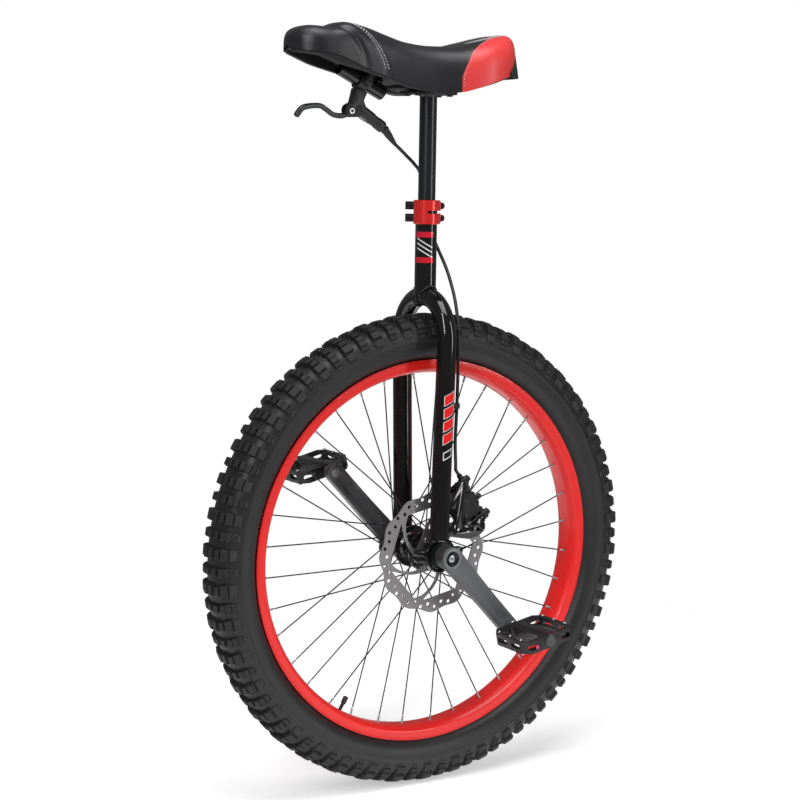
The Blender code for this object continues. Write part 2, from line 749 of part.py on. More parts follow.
def make_crank(wheel, side):
    name = side_name(side)
    face, inside = CRANK_FACE_Y, CRANK_FACE_Y - CRANK_THICKNESS
    arm = outline(name + "_crank", crank_outline(), CRANK_THICKNESS)
    arm.data.transform(Matrix.Translation((0, 0, face - CRANK_THICKNESS / 2)))
    boss = rod("boss", (0, 0, face - CRANK_BOSS_LENGTH), (0, 0, face - 0.0015), CRANK_BOSS_RADIUS, 28)
    join(arm, boss)
    shelf = AXLE_END_Y + GAP * 3
    bore = rod("bore", (0, 0, face - CRANK_BOSS_LENGTH - 0.01), (0, 0, shelf), AXLE_RADIUS + GAP, 24)
    through = rod("through", (0, 0, 0), (0, 0, face + 0.01), CRANK_BOLT_SHANK + GAP, 16)
    recess_floor = face - CRANK_BOLT_HEAD - 0.0008
    recess = rod("recess", (0, 0, recess_floor), (0, 0, face + 0.01), CRANK_BOLT_RADIUS + GAP, 24)
    end = CRANK_LENGTH
    hole = rod("hole", (end, 0, inside - 0.01), (end, 0, face + 0.01), PEDAL_THREAD_RADIUS + GAP, 16)
    half = CRANK_END_RADIUS * 0.55
    channel = box("channel", (0.034, -half, inside - 0.01), (CRANK_LENGTH - 0.022, half, inside + 0.0045))
    cut(arm, bore, through, recess, hole, channel, solver="MANIFOLD")
    finish(arm, grey("crank"), wheel, crank_placing(side))
    top = face - 0.0008
    under = top - CRANK_BOLT_HEAD
    bottom = AXLE_END_Y - CRANK_BOLT_LENGTH + 0.0020
    profile = [
        (0.0, top - 0.0030), (0.0040, top - 0.0030), (0.0040, top), (CRANK_BOLT_RADIUS, top),
        (CRANK_BOLT_RADIUS, under + GAP), (CRANK_BOLT_SHANK, under + GAP), (CRANK_BOLT_SHANK, bottom), (0.0, bottom),
    ]
    bolt = turned(name + "_crank_bolt", profile, 20)
    finish(bolt, steel("crank_bolt"), wheel, facing(side))


def make_pedal_axle(axis, side):
    """The pedal's spindle: thread in the crank, a collar and the shaft that the pedal turns on."""
    inside = CRANK_FACE_Y - CRANK_THICKNESS
    collar = PEDAL_INNER_Y - RUNNING
    end = PEDAL_INNER_Y + PEDAL_WIDTH - 0.0120
    profile = [
        (0.0, inside + 0.0005), (PEDAL_THREAD_RADIUS, inside + 0.0005), (PEDAL_THREAD_RADIUS, CRANK_FACE_Y + GAP),
        (PEDAL_THREAD_RADIUS * 1.3, CRANK_FACE_Y + GAP), (PEDAL_THREAD_RADIUS * 1.3, collar - 0.0040),
        (PEDAL_AXLE_RADIUS * 1.15, collar - 0.0030), (PEDAL_AXLE_RADIUS, collar), (PEDAL_AXLE_RADIUS, end), (0.0, end),
    ]
    spindle = turned(side_name(side) + "_pedal_axle", profile, 16)
    finish(spindle, steel("pedal_axle"), axis, facing(side))


def make_pedal(axis, side):
    name = side_name(side) + "_pedal"
    low, high = PEDAL_INNER_Y, PEDAL_INNER_Y + PEDAL_WIDTH
    half, thick = PEDAL_DEPTH / 2, PEDAL_THICKNESS / 2
    corner = 0.0080
    plan = [
        (-half, low + corner), (-half + corner, low), (half - corner, low), (half, low + corner),
        (half, high - corner), (half - corner, high), (-half + corner, high), (-half, high - corner),
    ]
    body = outline(name, plan, PEDAL_THICKNESS)
    join(body, rod("barrel", (0, low - 0.0003, 0), (0, high + 0.0003, 0), PEDAL_BARREL_RADIUS, 20))
    length, width = PEDAL_WINDOW
    middle = (low + high) / 2
    outer = half - PEDAL_RAIL
    cutters = [rod("bore", (0, low - 0.01, 0), (0, high - 0.0080, 0), PEDAL_AXLE_RADIUS + RUNNING, 16)]
    for x_low, x_high in ((-outer, -outer + length), (outer - length, outer)):
        cutters.append(
            box("window", (x_low, middle - width / 2, -thick * 2), (x_high, middle + width / 2, thick * 2))
        )
    cut(body, *cutters)
    body.data.transform(Matrix.Rotation(LEFT_PEDAL_TILT if side > 0 else RIGHT_PEDAL_TILT, 4, "Y"))
    if side < 0:
        body.data.transform(Matrix.Diagonal((1, -1, 1, 1)))
        body.data.flip_normals()
    finish(body, satin_black("pedal"), axis)


# ---------------------------------------------------------------- frame
def leg_path(side):
    """The leg's centre line from below the bearing up and round the crown to the seat tube."""
    points = [(0.0, side * leg_y(z), z) for z in (0.010, 0.160, CROWN_CENTRE_Z)]
    for step in range(1, 9):
        angle = math.radians(88) * step / 8
        points.append(
            (0.0, side * CROWN_RADIUS * math.cos(angle), CROWN_CENTRE_Z + CROWN_RADIUS * math.sin(angle))
        )
    return points


def leg_y(z):
    return BEARING_Y + (CROWN_RADIUS - BEARING_Y) * min(z, CROWN_CENTRE_Z) / CROWN_CENTRE_Z


def make_leg(frame, side):
    name = side_name(side) + "_leg"
    leg = as_mesh(tube(name, leg_path(side), LEG_RADIUS, resolution=6))
    path = leg_path(side)
    path[0] = (0.0, path[0][1], -0.01)
    path.append((0.0, -side * 0.01, path[-1][2]))
    hollow = as_mesh(tube("hollow", path, LEG_RADIUS - LEG_WALL, resolution=6))
    reach = 0.2
    cope = rod("cope", (0, 0, 0), (0, side * reach, 0), HOUSING_RADIUS + GAP, 32)
    top = SEAT_TUBE_TOP
    seat = rod("seat", (0, 0, CROWN_CENTRE_Z), (0, 0, top), SEAT_TUBE_RADIUS + GAP, 32)
    finish(cut(leg, hollow, cope, seat), gloss_black("leg"), frame)


def make_seat_tube(frame):
    inner = POST_RADIUS + GAP
    profile = [
        (SEAT_TUBE_RADIUS, SEAT_TUBE_BOTTOM), (SEAT_TUBE_RADIUS, SEAT_TUBE_TOP), (inner, SEAT_TUBE_TOP),
        (inner, SEAT_TUBE_BOTTOM),
    ]
    made = turned("seat_tube", profile, 32, ring=True)
    bpy.context.scene.collection.objects.link(made)
    baked(made)
    slit = box("slit", (-0.03, -0.0012, CLAMP_BOTTOM - 0.006), (0.0, 0.0012, SEAT_TUBE_TOP + 0.01))
    slit.data.transform(Matrix.Rotation(CLAMP_TURN - math.pi / 2, 4, "Z"))
    finish(cut(made, slit), gloss_black("seat_tube"), frame)


def make_seat_clamp(frame):
    """The double collar: two rings joined in front, a boss behind, and two bolts across its slit."""
    low, high = CLAMP_BOTTOM, CLAMP_TOP
    lower_inner = SEAT_TUBE_RADIUS + GAP
    collar = rod("seat_clamp", (0, 0, low), (0, 0, high), CLAMP_RADIUS, 32)
    offset = CLAMP_BOLT_OFFSET
    boss = box("boss", (-0.0150, offset - 0.0080, low), (0.0210, offset + 0.0062, high))
    join(collar, boss)
    middle = (low + high) / 2
    bores = [
        rod("bore", (0, 0, low - 0.01), (0, 0, SEAT_TUBE_TOP + GAP), lower_inner, 32),
        rod("bore", (0, 0, low - 0.02), (0, 0, high + 0.01), POST_RADIUS + RUNNING, 32),
    ]
    slit = box("slit", (-0.0012, 0, low - 0.01), (0.0012, offset + 0.02, high + 0.01))
    slot = box("slot", (0.0020, -0.03, middle - CLAMP_SLOT / 2), (0.04, 0.04, middle + CLAMP_SLOT / 2))
    heights = (low + 0.0085, high - 0.0085)
    holes = [
        rod("hole", (-0.05, offset, z), (0.05, offset, z), CLAMP_BOLT_RADIUS + GAP, 12) for z in heights
    ]
    cut(collar, *bores, slit, slot, *holes)
    turn = Matrix.Rotation(CLAMP_TURN, 4, "Z")
    finish(collar, red("seat_clamp"), frame, turn)
    profile = [
        (0.0, -0.0310), (CLAMP_HEAD_RADIUS, -0.0310), (CLAMP_HEAD_RADIUS, -0.0150 - GAP),
        (CLAMP_BOLT_RADIUS, -0.0150 - GAP), (CLAMP_BOLT_RADIUS, 0.0210 + GAP), (CLAMP_DOME_RADIUS, 0.0210 + GAP),
        (CLAMP_DOME_RADIUS * 0.9, 0.0245), (CLAMP_DOME_RADIUS * 0.5, 0.0265), (0.0, 0.0272),
    ]
    for name, z in (("lower_clamp_bolt", heights[0]), ("upper_clamp_bolt", heights[1])):
        bolt = turned(name, profile, 16)
        across = Matrix.Translation((0, offset, z)) @ Matrix.Rotation(math.pi / 2, 4, "Y")
        finish(bolt, satin_black("clamp_bolt"), frame, turn @ across)


# ---------------------------------------------------------------- caliper
def caliper_placing():
    """Local X down along the caliper, local Y away from the axle, local Z to the left."""
    out = Vector((math.cos(CALIPER_TURN), 0.0, math.sin(CALIPER_TURN)))
    across = Vector((0.0, 1.0, 0.0))
    length = out.cross(across)
    return Matrix((length, out, across)).transposed().to_4x4()


def bolt_places():
    """How far along the caliper its upper and its lower bolt are."""
    half = CALIPER_BOLT_SPACING / 2
    return (CALIPER_CENTRE - half, CALIPER_CENTRE + half)


def make_caliper(frame):
    low, high = CALIPER_CENTRE - CALIPER_HALF_LENGTH, CALIPER_CENTRE + CALIPER_HALF_LENGTH
    body = box("caliper_body", (low, CALIPER_LOW, CALIPER_INNER_Y), (high, CALIPER_HIGH, CALIPER_OUTER_Y))
    ears = [
        box(
            "ear", (place_u - CALIPER_EAR_HALF, CALIPER_HIGH - CALIPER_EAR, CALIPER_BOLT_Y - 0.0070),
            (place_u + CALIPER_EAR_HALF, CALIPER_HIGH - 0.0004, CALIPER_BOLT_Y + 0.0037),
        )
        for place_u in bolt_places()
    ]
    bridges = [
        box("bridge", (start, CALIPER_HIGH - CALIPER_EAR + 0.0004, CALIPER_BOLT_Y - 0.0066),
            (end, CALIPER_HIGH - 0.0008, CALIPER_BOLT_Y + 0.0033))
        for start, end in ((bolt_places()[0], CALIPER_CENTRE), (CALIPER_CENTRE, bolt_places()[1]))
    ]
    top = bolt_places()[0] - CALIPER_EAR_HALF
    inlet = box(
        "inlet", (top - INLET_LENGTH, CALIPER_HIGH - CALIPER_EAR + 0.0003, CALIPER_BOLT_Y - 0.0045),
        (top + 0.003, CALIPER_HIGH - 0.0012, CALIPER_BOLT_Y + 0.0034),
    )
    join(body, *ears, *bridges, inlet)
    rotor_edge = ROTOR_RADIUS + ROTOR_WAVE + 0.0012
    room = PAD_THICKNESS + PAD_CLEARANCE + ROTOR_THICKNESS / 2 + RUNNING
    slot = box("slot", (low - 0.01, 0.0, ROTOR_Y - room), (high + 0.01, rotor_edge, ROTOR_Y + room))
    holes = [
        rod("hole", (u, 0.0, CALIPER_BOLT_Y), (u, 0.2, CALIPER_BOLT_Y), CALIPER_BOLT_RADIUS + GAP, 12)
        for u in bolt_places()
    ]
    placing = caliper_placing()
    finish(cut(body, slot, *holes), satin_black("caliper"), frame, placing)
    profile = [
        (0.0, CALIPER_HIGH + 0.0060), (CALIPER_HEAD_RADIUS, CALIPER_HIGH + 0.0055), (CALIPER_HEAD_RADIUS, CALIPER_HIGH),
        (CALIPER_BOLT_RADIUS, CALIPER_HIGH), (CALIPER_BOLT_RADIUS, CALIPER_HIGH - 0.0240), (0.0, CALIPER_HIGH - 0.0240),
    ]
    for name, u in zip(("upper_caliper_bolt", "lower_caliper_bolt"), bolt_places()):
        upright = Matrix.Translation((u, 0, CALIPER_BOLT_Y)) @ Matrix.Rotation(-math.pi / 2, 4, "X")
        finish(turned(name, profile, 12), satin_black("caliper_bolt"), frame, placing @ upright)


def make_pad(parent, name, side):
    near = ROTOR_Y + side * (ROTOR_THICKNESS / 2 + PAD_CLEARANCE)
    y_low, y_high = sorted((near, near + side * PAD_THICKNESS))
    half = PAD_LENGTH / 2
    pad = box(
        name, (CALIPER_CENTRE - half, PAD_CENTRE - PAD_DEPTH / 2, y_low),
        (CALIPER_CENTRE + half, PAD_CENTRE + PAD_DEPTH / 2, y_high),
    )
    finish(pad, grey("pad"), parent, caliper_placing(), smooth=False)


def make_bracket(frame):
    """The plate welded behind the left leg, with the two posts that the caliper is bolted to."""
    middle = (BRACKET_INNER_Y + BRACKET_OUTER_Y) / 2
    plan = (
        (-0.0080, 0.0330), (-0.0200, 0.0260), (-0.0350, 0.0225), (-0.0524, 0.0215), (-0.0680, 0.0265),
        (-0.0757, 0.0345), (-0.0740, 0.0460), (-0.0640, 0.0500), (-0.0520, 0.0400), (-0.0400, 0.0430),
        (-0.0350, 0.0600), (-0.0360, 0.0850), (-0.0400, 0.0980), (-0.0360, 0.1065), (-0.0250, 0.1060),
        (-0.0225, 0.0920), (-0.0080, 0.0900), (-0.0080, 0.0690), (-0.0225, 0.0690), (-0.0225, 0.0470),
        (-0.0080, 0.0470),
    )
    plate = outline("caliper_bracket", plan, BRACKET_OUTER_Y - BRACKET_INNER_Y)
    plate.data.transform(Matrix.Translation((0, middle, 0)) @ UPRIGHT)
    placing = caliper_placing()
    posts, holes = [], []
    for u in bolt_places():
        top = CALIPER_HIGH - CALIPER_EAR - GAP
        post = box(
            "post", (u - 0.0065, top - 0.0180, CALIPER_BOLT_Y - 0.0062),
            (u + 0.0065, top, BRACKET_OUTER_Y - 0.0010),
        )
        hole = rod(
            "hole", (u, top - 0.0160, CALIPER_BOLT_Y), (u, top + 0.01, CALIPER_BOLT_Y),
            CALIPER_BOLT_RADIUS + GAP, 12,
        )
        for piece in (post, hole):
            piece.data.transform(placing)
        posts.append(post)
        holes.append(hole)
    join(plate, *posts)
    leg = as_mesh(tube("leg_room", leg_path(1)[:4], LEG_RADIUS + GAP, resolution=6))
    finish(cut(plate, leg, *holes), gloss_black("bracket"), frame)


def hose_end():
    """Where the hose meets the caliper's inlet, and the way it comes in."""
    u = bolt_places()[0] - CALIPER_EAR_HALF - INLET_LENGTH - GAP
    v = CALIPER_HIGH - CALIPER_EAR + 0.0040
    placing = caliper_placing()
    return placing @ Vector((u, v, CALIPER_BOLT_Y - 0.0005)), placing.to_3x3() @ Vector((-1, 0, 0))


def make_hose(frame):
    end, way = hose_end()
    route = [*HOSE_ROUTE, tuple(end + way * 0.008), tuple(end)]
    hose = tube("brake_hose", smooth_path(route), HOSE_RADIUS, resolution=2)
    finish(hose, rubber("hose"), frame)


def make_hose_clip(frame, name, z):
    """A clip that holds the hose against the back of the left leg."""
    path = smooth_path(HOSE_ROUTE, 12)
    centre = min(path, key=lambda point: abs(point.z - z))
    half = CLIP_HEIGHT / 2
    outer = HOSE_RADIUS + 0.0022
    clip = box(name, (centre.x - outer, centre.y - outer, z - half), (-LEG_RADIUS * 0.6, centre.y + outer, z + half))
    near = [point for point in smooth_path(HOSE_ROUTE) if abs(point.z - z) < 0.04]
    hole = as_mesh(tube("hole", near, HOSE_RADIUS + GAP, resolution=2))
    leg = as_mesh(tube("leg_room", leg_path(1)[1:6], LEG_RADIUS + GAP, resolution=6))
    finish(cut(clip, hole, leg), satin_black("clip"), frame)


# ---------------------------------------------------------------- seat
def make_seatpost(seat):
    lowest = min(station_at(x)[4] for x in (-PLATE_LENGTH / 2, 0.0, 0.0200, PLATE_LENGTH / 2))
    top = lowest - PLATE_THICKNESS - GAP
    post = rod("seatpost", (0, 0, POST_BOTTOM), (0, 0, top + 0.0010), POST_RADIUS, 32)
    half_x, half_y = PLATE_LENGTH / 2, PLATE_WIDTH / 2
    plate = box("plate", (-half_x, -half_y, top), (half_x, half_y, top + PLATE_THICKNESS))
    join(post, plate)
    hollow = rod("hollow", (0, 0, POST_BOTTOM - 0.01), (0, 0, top - 0.0040), POST_RADIUS - POST_WALL, 32)
    finish(cut(post, hollow), satin_black("seatpost"), seat)


def station_at(x):
    """The saddle's sizes at any place, between its stations."""
    for first, second in zip(SADDLE_STATIONS, SADDLE_STATIONS[1:]):
        if first[0] <= x <= second[0]:
            share = (x - first[0]) / (second[0] - first[0])
            return tuple(a + (b - a) * share for a, b in zip(first, second))
    return SADDLE_STATIONS[0] if x < 0 else SADDLE_STATIONS[-1]


def crown(station, inset, floor, count=12):
    """Points over the saddle from its right edge to its left one, inset from the outer skin."""
    x, half, top, *_ = station
    x -= math.copysign(inset, x) * (abs(x) > 0.122)
    points = []
    for step in range(count + 1):
        angle = math.pi * step / count
        side, rise = -math.cos(angle), math.sin(angle)
        across = math.copysign(abs(side) ** 0.62, side) * max(half - inset, half * 0.5)
        points.append(Vector((x, across, floor + (top - inset - floor) * rise**0.55)))
    return points


def loft(name, rings, closed):
    """A skin through rings of points; a closed one has each ring shut and both ends filled."""
    shape = bmesh.new()
    rows = [[shape.verts.new(point) for point in ring] for ring in rings]
    for first, second in zip(rows, rows[1:]):
        count = len(first)
        for i in range(count if closed else count - 1):
            j = (i + 1) % count
            shape.faces.new((first[i], first[j], second[j], second[i]))
    if closed:
        shape.faces.new(rows[0])
        shape.faces.new(list(reversed(rows[-1])))
    bmesh.ops.recalc_face_normals(shape, faces=shape.faces)
    return mesh_object(name, shape)


def make_saddle_cover(seat):
    rings = [crown(station, 0.0, station[3]) for station in SADDLE_STATIONS]
    shape = bmesh.new()
    rows = [[shape.verts.new(point) for point in ring] for ring in rings]
    for first, second in zip(rows, rows[1:]):
        for i in range(len(first) - 1):
            shape.faces.new((first[i], first[i + 1], second[i + 1], second[i]))
    for row in (rows[0], rows[-1]):
        shape.faces.new(row)
    bmesh.ops.recalc_face_normals(shape, faces=shape.faces)
    if sum(face.normal.z for face in shape.faces) < 0:
        bmesh.ops.reverse_faces(shape, faces=shape.faces)
    cover = mesh_object("saddle_cover", shape)
    skin = cover.modifiers.new("skin", "SOLIDIFY")
    skin.thickness = COVER_THICKNESS
    skin.offset = -1.0
    skin.use_even_offset = False
    finish(cover, vinyl("cover"), seat)


def make_saddle_foam(seat):
    inset = COVER_THICKNESS + GAP * 2
    rings = []
    for station in SADDLE_STATIONS:
        floor = station[4] + BASE_THICKNESS + GAP
        rings.append(crown(station, inset + 0.0020, floor))
    finish(loft("saddle_foam", rings, closed=True), grey("foam"), seat)


def make_saddle_base(seat):
    rings = []
    for station in SADDLE_STATIONS:
        x, half, _, _, under, skirt = station
        inset = COVER_THICKNESS + GAP + 0.0016
        x -= math.copysign(inset, x) * (abs(x) > 0.122)
        edge = max(half - inset, half * 0.5)
        inner = max(edge - BASE_SKIRT, edge * 0.3)
        top = under + BASE_THICKNESS
        half_ring = [(inner, under), (inner, skirt), (edge, skirt), (edge, top)]
        ring = [(-y, z) for y, z in half_ring] + [(y, z) for y, z in reversed(half_ring)]
        rings.append([Vector((x, y, z)) for y, z in ring])
    finish(loft("saddle_base", rings, closed=True), satin_black("base"), seat)


def make_rear_bumper(seat):
    """The guard round the tail, from an outline of the tail and the same outline moved out."""
    tail = [station for station in SADDLE_STATIONS if station[0] < BUMPER_FRONT_X]
    inner = [(x, -half) for x, half, *_ in reversed(tail)] + [(x, half) for x, half, *_ in tail]
    gap = GAP * 2
    centre = Vector((BUMPER_FRONT_X, 0.0))
    loops = []
    for distance in (gap, gap + BUMPER_THICKNESS):
        loop = []
        for point in inner:
            away = (Vector(point) - centre).normalized()
            away.y *= 1.6
            loop.append(Vector(point) + away.normalized() * distance)
        loops.append(loop)
    plan = [tuple(p) for p in loops[0]] + [tuple(p) for p in reversed(loops[1])]
    bumper = outline("rear_bumper", plan, BUMPER_HIGH - BUMPER_LOW)
    lift = Matrix.Translation((0, 0, (BUMPER_HIGH + BUMPER_LOW) / 2))
    finish(bumper, satin_black("bumper"), seat, lift)


# ---------------------------------------------------------------- lever
def bar_point(share):
    return BAR_REAR.lerp(BAR_FRONT, share)


def make_brake_bar(seat):
    """The short tube under the nose that carries the lever, and its tab to the saddle base."""
    bar = rod("brake_bar", BAR_REAR, BAR_FRONT, BAR_RADIUS, 24)
    way = (BAR_FRONT - BAR_REAR).normalized()
    x = bar_point(0.16).x
    tab_top = min(station_at(x - 0.008)[4], station_at(x + 0.008)[4]) - GAP
    tab = box("tab", (x - 0.008, -0.007, bar_point(0.16).z), (x + 0.008, 0.007, tab_top))
    join(bar, tab)
    hollow = rod("hollow", BAR_REAR - way * 0.01, BAR_FRONT + way * 0.01, BAR_RADIUS - BAR_WALL, 24)
    finish(cut(bar, hollow), gloss_black("brake_bar"), seat)


def make_lever_clamp(seat):
    way = (BAR_FRONT - BAR_REAR).normalized()
    centre = bar_point(LEVER_CLAMP_AT)
    half = LEVER_CLAMP_WIDTH / 2
    ring = rod("lever_clamp", centre - way * half, centre + way * half, LEVER_CLAMP_RADIUS, 24)
    start, end = centre - way * half * 3, centre + way * half * 3
    bar = rod("bar", start, end, BAR_RADIUS + GAP, 24)
    lower = Matrix.Translation(centre) @ way.to_track_quat("X", "Z").to_matrix().to_4x4()
    away = box("away", (-0.03, -0.03, -0.03), (0.03, 0.03, 0.0))
    away.data.transform(lower)
    lug = box("lug", (-half * 0.9, LEVER_CLAMP_RADIUS * 0.8, 0.0), (half * 0.9, LEVER_BOLT_Y + 0.0038, 0.0045))
    lug.data.transform(lower)
    hole = rod("hole", (0, LEVER_BOLT_Y, -0.02), (0, LEVER_BOLT_Y, 0.02), 0.0023, 12)
    face = rod("face", (0, LEVER_BOLT_Y, 0.0045), (0, LEVER_BOLT_Y, 0.02), 0.0044, 16)
    for cutter in (hole, face):
        cutter.data.transform(lower)
    join(ring, lug)
    finish(cut(ring, bar, away, hole, face), satin_black("lever_clamp"), seat)
    profile = [
        (0.0, 0.0085), (0.0040, 0.0080), (0.0040, 0.0045 + GAP), (0.0020, 0.0045 + GAP), (0.0020, -0.0060), (0.0, -0.0060),
    ]
    bolt = turned("lever_clamp_bolt", profile, 12)
    finish(bolt, steel("lever_bolt"), seat, lower @ Matrix.Translation((0, LEVER_BOLT_Y, 0)))


def master_axis():
    return (MASTER_END - MASTER_TOP).normalized()


def make_master_cylinder(seat):
    """The cylinder, its neck with the lower half of the bar clamp, and the fork for the lever."""
    way = (BAR_FRONT - BAR_REAR).normalized()
    centre = bar_point(LEVER_CLAMP_AT)
    half = LEVER_CLAMP_WIDTH / 2
    body = rod("master_cylinder", MASTER_TOP, MASTER_END, MASTER_RADIUS, 20)
    saddle = rod("saddle", centre - way * half, centre + way * half, LEVER_CLAMP_RADIUS, 24)
    lower = Matrix.Translation(centre) @ way.to_track_quat("X", "Z").to_matrix().to_4x4()
    lug = box("lug", (-half * 0.9, LEVER_CLAMP_RADIUS * 0.8, -0.0075), (half * 0.9, LEVER_BOLT_Y + 0.0038, 0.0))
    lug.data.transform(lower)
    neck_plan = (
        (0.1255, 0.6745), (0.1290, 0.6600), (0.1310, 0.6530), (0.1400, 0.6480), (0.1400, 0.6365),
        (0.1310, 0.6325), (0.1180, 0.6330), (0.1080, 0.6420), (0.1120, 0.6560), (0.1060, 0.6680),
    )
    neck = outline("neck", neck_plan, MASTER_HALF_WIDTH * 2)
    neck.data.transform(UPRIGHT)
    join(body, saddle, lug, neck)
    start, end = centre - way * half * 3, centre + way * half * 3
    bar = rod("bar", start, end, BAR_RADIUS + GAP, 24)
    away = box("away", (-half - 0.001, -0.03, -GAP), (half + 0.001, 0.03, 0.03))
    away.data.transform(lower)
    room = LEVER_HUB_RADIUS + 0.0014
    plan = [(x, z) for x, z in ring_points(room, 24, (LEVER_PIVOT.x, LEVER_PIVOT.z), math.pi / 24) if x < LEVER_PIVOT.x]
    far = LEVER_PIVOT.x + 0.02
    plan = [(far, LEVER_PIVOT.z + room), *plan, (far, LEVER_PIVOT.z - room)]
    fork = outline("fork", plan, LEVER_THICKNESS + 2 * RUNNING)
    fork.data.transform(UPRIGHT)
    pin = rod(
        "pin", LEVER_PIVOT - Vector((0, 0.03, 0)), LEVER_PIVOT + Vector((0, 0.03, 0)), PIVOT_RADIUS + GAP, 12
    )
    bore_start = MASTER_TOP - master_axis() * 0.004
    bore = rod("bore", bore_start, MASTER_TOP + master_axis() * 0.036, PISTON_RADIUS + RUNNING, 16)
    hole = rod("hole", (0, LEVER_BOLT_Y, -0.0066), (0, LEVER_BOLT_Y, 0.02), 0.0023, 12)
    hole.data.transform(lower)
    cut(body, bar, away, fork, pin, bore, hole, solver="MANIFOLD")
    finish(body, satin_black("master"), seat)


def make_lever_pivot(seat):
    half = PIVOT_LENGTH / 2
    pin = rod("lever_pivot", LEVER_PIVOT - Vector((0, half, 0)), LEVER_PIVOT + Vector((0, half, 0)), PIVOT_RADIUS, 12)
    finish(pin, steel("pivot"), seat)


def make_hose_boot(seat):
    start = MASTER_END + master_axis() * 0.0022
    target = Vector(HOSE_ROUTE[0])
    end = target - (Vector(HOSE_ROUTE[1]) - target).normalized() * GAP * 5
    boot = rod("hose_boot", start, end, MASTER_RADIUS * 0.72, 16, end_radius=HOSE_RADIUS * 1.7)
    finish(boot, rubber("boot"), seat)


def make_piston(axis):
    start = MASTER_TOP + master_axis() * 0.0060
    piston = rod("master_piston", start, start + master_axis() * PISTON_LENGTH, PISTON_RADIUS, 16)
    finish(piston, steel("piston"), axis)


def make_lever(pivot):
    path = [Vector((x, 0.0, z)) - LEVER_PIVOT for x, z in LEVER_PATH]
    blade = as_mesh(tube("brake_lever", smooth_path(path, 2), LEVER_BLADE_RADIUS, resolution=2))
    half = LEVER_THICKNESS / 2
    hub = rod("hub", (0, -half, 0), (0, half, 0), LEVER_HUB_RADIUS, 20)
    join(blade, hub)
    room = [
        box("room", (-0.02, y_low, -0.02), (LEVER_HUB_RADIUS + 0.0040, y_high, 0.02))
        for y_low, y_high in ((-0.03, -half), (half, 0.03))
    ]
    pin = rod("pin", (0, -0.02, 0), (0, 0.02, 0), PIVOT_RADIUS + GAP, 12)
    finish(cut(blade, pin, *room), grey("lever"), pivot)


# ---------------------------------------------------------------- assembly
def main():
    clear_scene()
    axle = empty("axle_centre", None, (0, 0, TYRE_RADIUS))
    wheel = empty("wheel_axis", axle, (0, 0, 0))
    seat = empty("seat_slide", axle, (0, 0, 0))
    make_rim_and_tyre(wheel)
    make_rim_tape(wheel)
    make_inner_tube(wheel)
    make_valve(wheel)
    make_hub(wheel)
    make_axle(wheel)
    make_rotor(wheel)
    make_seat_tube(axle)
    for side in (1, -1):
        make_spokes(wheel, side)
        make_bearing(axle, wheel, side)
        make_housing(axle, side)
        make_spacer(wheel, side)
        make_crank(wheel, side)
        reach = CRANK_LENGTH * side
        crank_end = (-reach * math.cos(CRANK_ANGLE), 0, -reach * math.sin(CRANK_ANGLE))
        pedal_axis = empty(side_name(side) + "_pedal_axis", wheel, crank_end)
        make_pedal_axle(pedal_axis, side)
        make_pedal(pedal_axis, side)
        make_leg(axle, side)
    make_seat_clamp(axle)
    make_bracket(axle)
    make_caliper(axle)
    make_pad(axle, "inner_brake_pad", -1)
    make_pad(axle, "outer_brake_pad", 1)
    make_hose(axle)
    make_hose_clip(axle, "upper_hose_clip", UPPER_CLIP_Z)
    make_hose_clip(axle, "lower_hose_clip", LOWER_CLIP_Z)
    make_seatpost(seat)
    make_saddle_base(seat)
    make_saddle_foam(seat)
    make_saddle_cover(seat)
    make_rear_bumper(seat)
    make_brake_bar(seat)
    make_lever_clamp(seat)
    make_master_cylinder(seat)
    make_lever_pivot(seat)
    make_hose_boot(seat)
    make_piston(seat)
    make_lever(empty("lever_axis", seat, LEVER_PIVOT))


main()
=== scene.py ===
"""Visual model of a 26 inch unicycle with a disc brake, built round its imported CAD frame.

Metres, +Z up. The origin is on the ground under the axle, +X is the rider's front and +Y the
rider's left. Each sub-assembly is a class that holds its sizes and builds its own pieces.
"""

import logging
import math
from collections.abc import Callable, Sequence
from dataclasses import dataclass, replace
from enum import Enum

import bmesh
import bpy
from mathutils import Matrix, Vector


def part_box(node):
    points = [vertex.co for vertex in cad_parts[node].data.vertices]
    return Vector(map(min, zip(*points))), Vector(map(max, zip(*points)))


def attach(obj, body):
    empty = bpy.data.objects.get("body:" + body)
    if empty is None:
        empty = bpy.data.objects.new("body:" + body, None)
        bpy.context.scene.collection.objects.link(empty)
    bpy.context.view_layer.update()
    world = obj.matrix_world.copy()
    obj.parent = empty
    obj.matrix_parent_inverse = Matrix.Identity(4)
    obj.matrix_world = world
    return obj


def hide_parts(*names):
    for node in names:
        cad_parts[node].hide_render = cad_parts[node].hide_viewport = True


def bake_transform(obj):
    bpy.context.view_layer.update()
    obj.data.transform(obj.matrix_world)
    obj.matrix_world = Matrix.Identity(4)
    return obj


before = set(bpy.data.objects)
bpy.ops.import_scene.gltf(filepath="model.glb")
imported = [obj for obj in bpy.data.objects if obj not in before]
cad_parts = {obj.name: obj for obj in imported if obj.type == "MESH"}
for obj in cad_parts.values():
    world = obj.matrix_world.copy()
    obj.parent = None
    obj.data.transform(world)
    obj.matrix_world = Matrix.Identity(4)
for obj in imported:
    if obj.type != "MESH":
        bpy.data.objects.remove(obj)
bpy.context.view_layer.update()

LOG = logging.getLogger("unicycle")
Piece = bpy.types.Object
Point = Sequence[float]
LEFT, RIGHT = 1, -1
FIT = 0.0003
WELD = 0.00001


def centre_of(node: str) -> Vector:
    """Returns the middle of a CAD node's box."""
    low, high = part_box(node)
    return (low + high) / 2


AXLE = Vector((0.0, 0.0, centre_of("axle").z))


def up(x: float, y: float, z: float) -> Vector:
    """Returns a place given from the axle."""
    return AXLE + Vector((x, y, z))


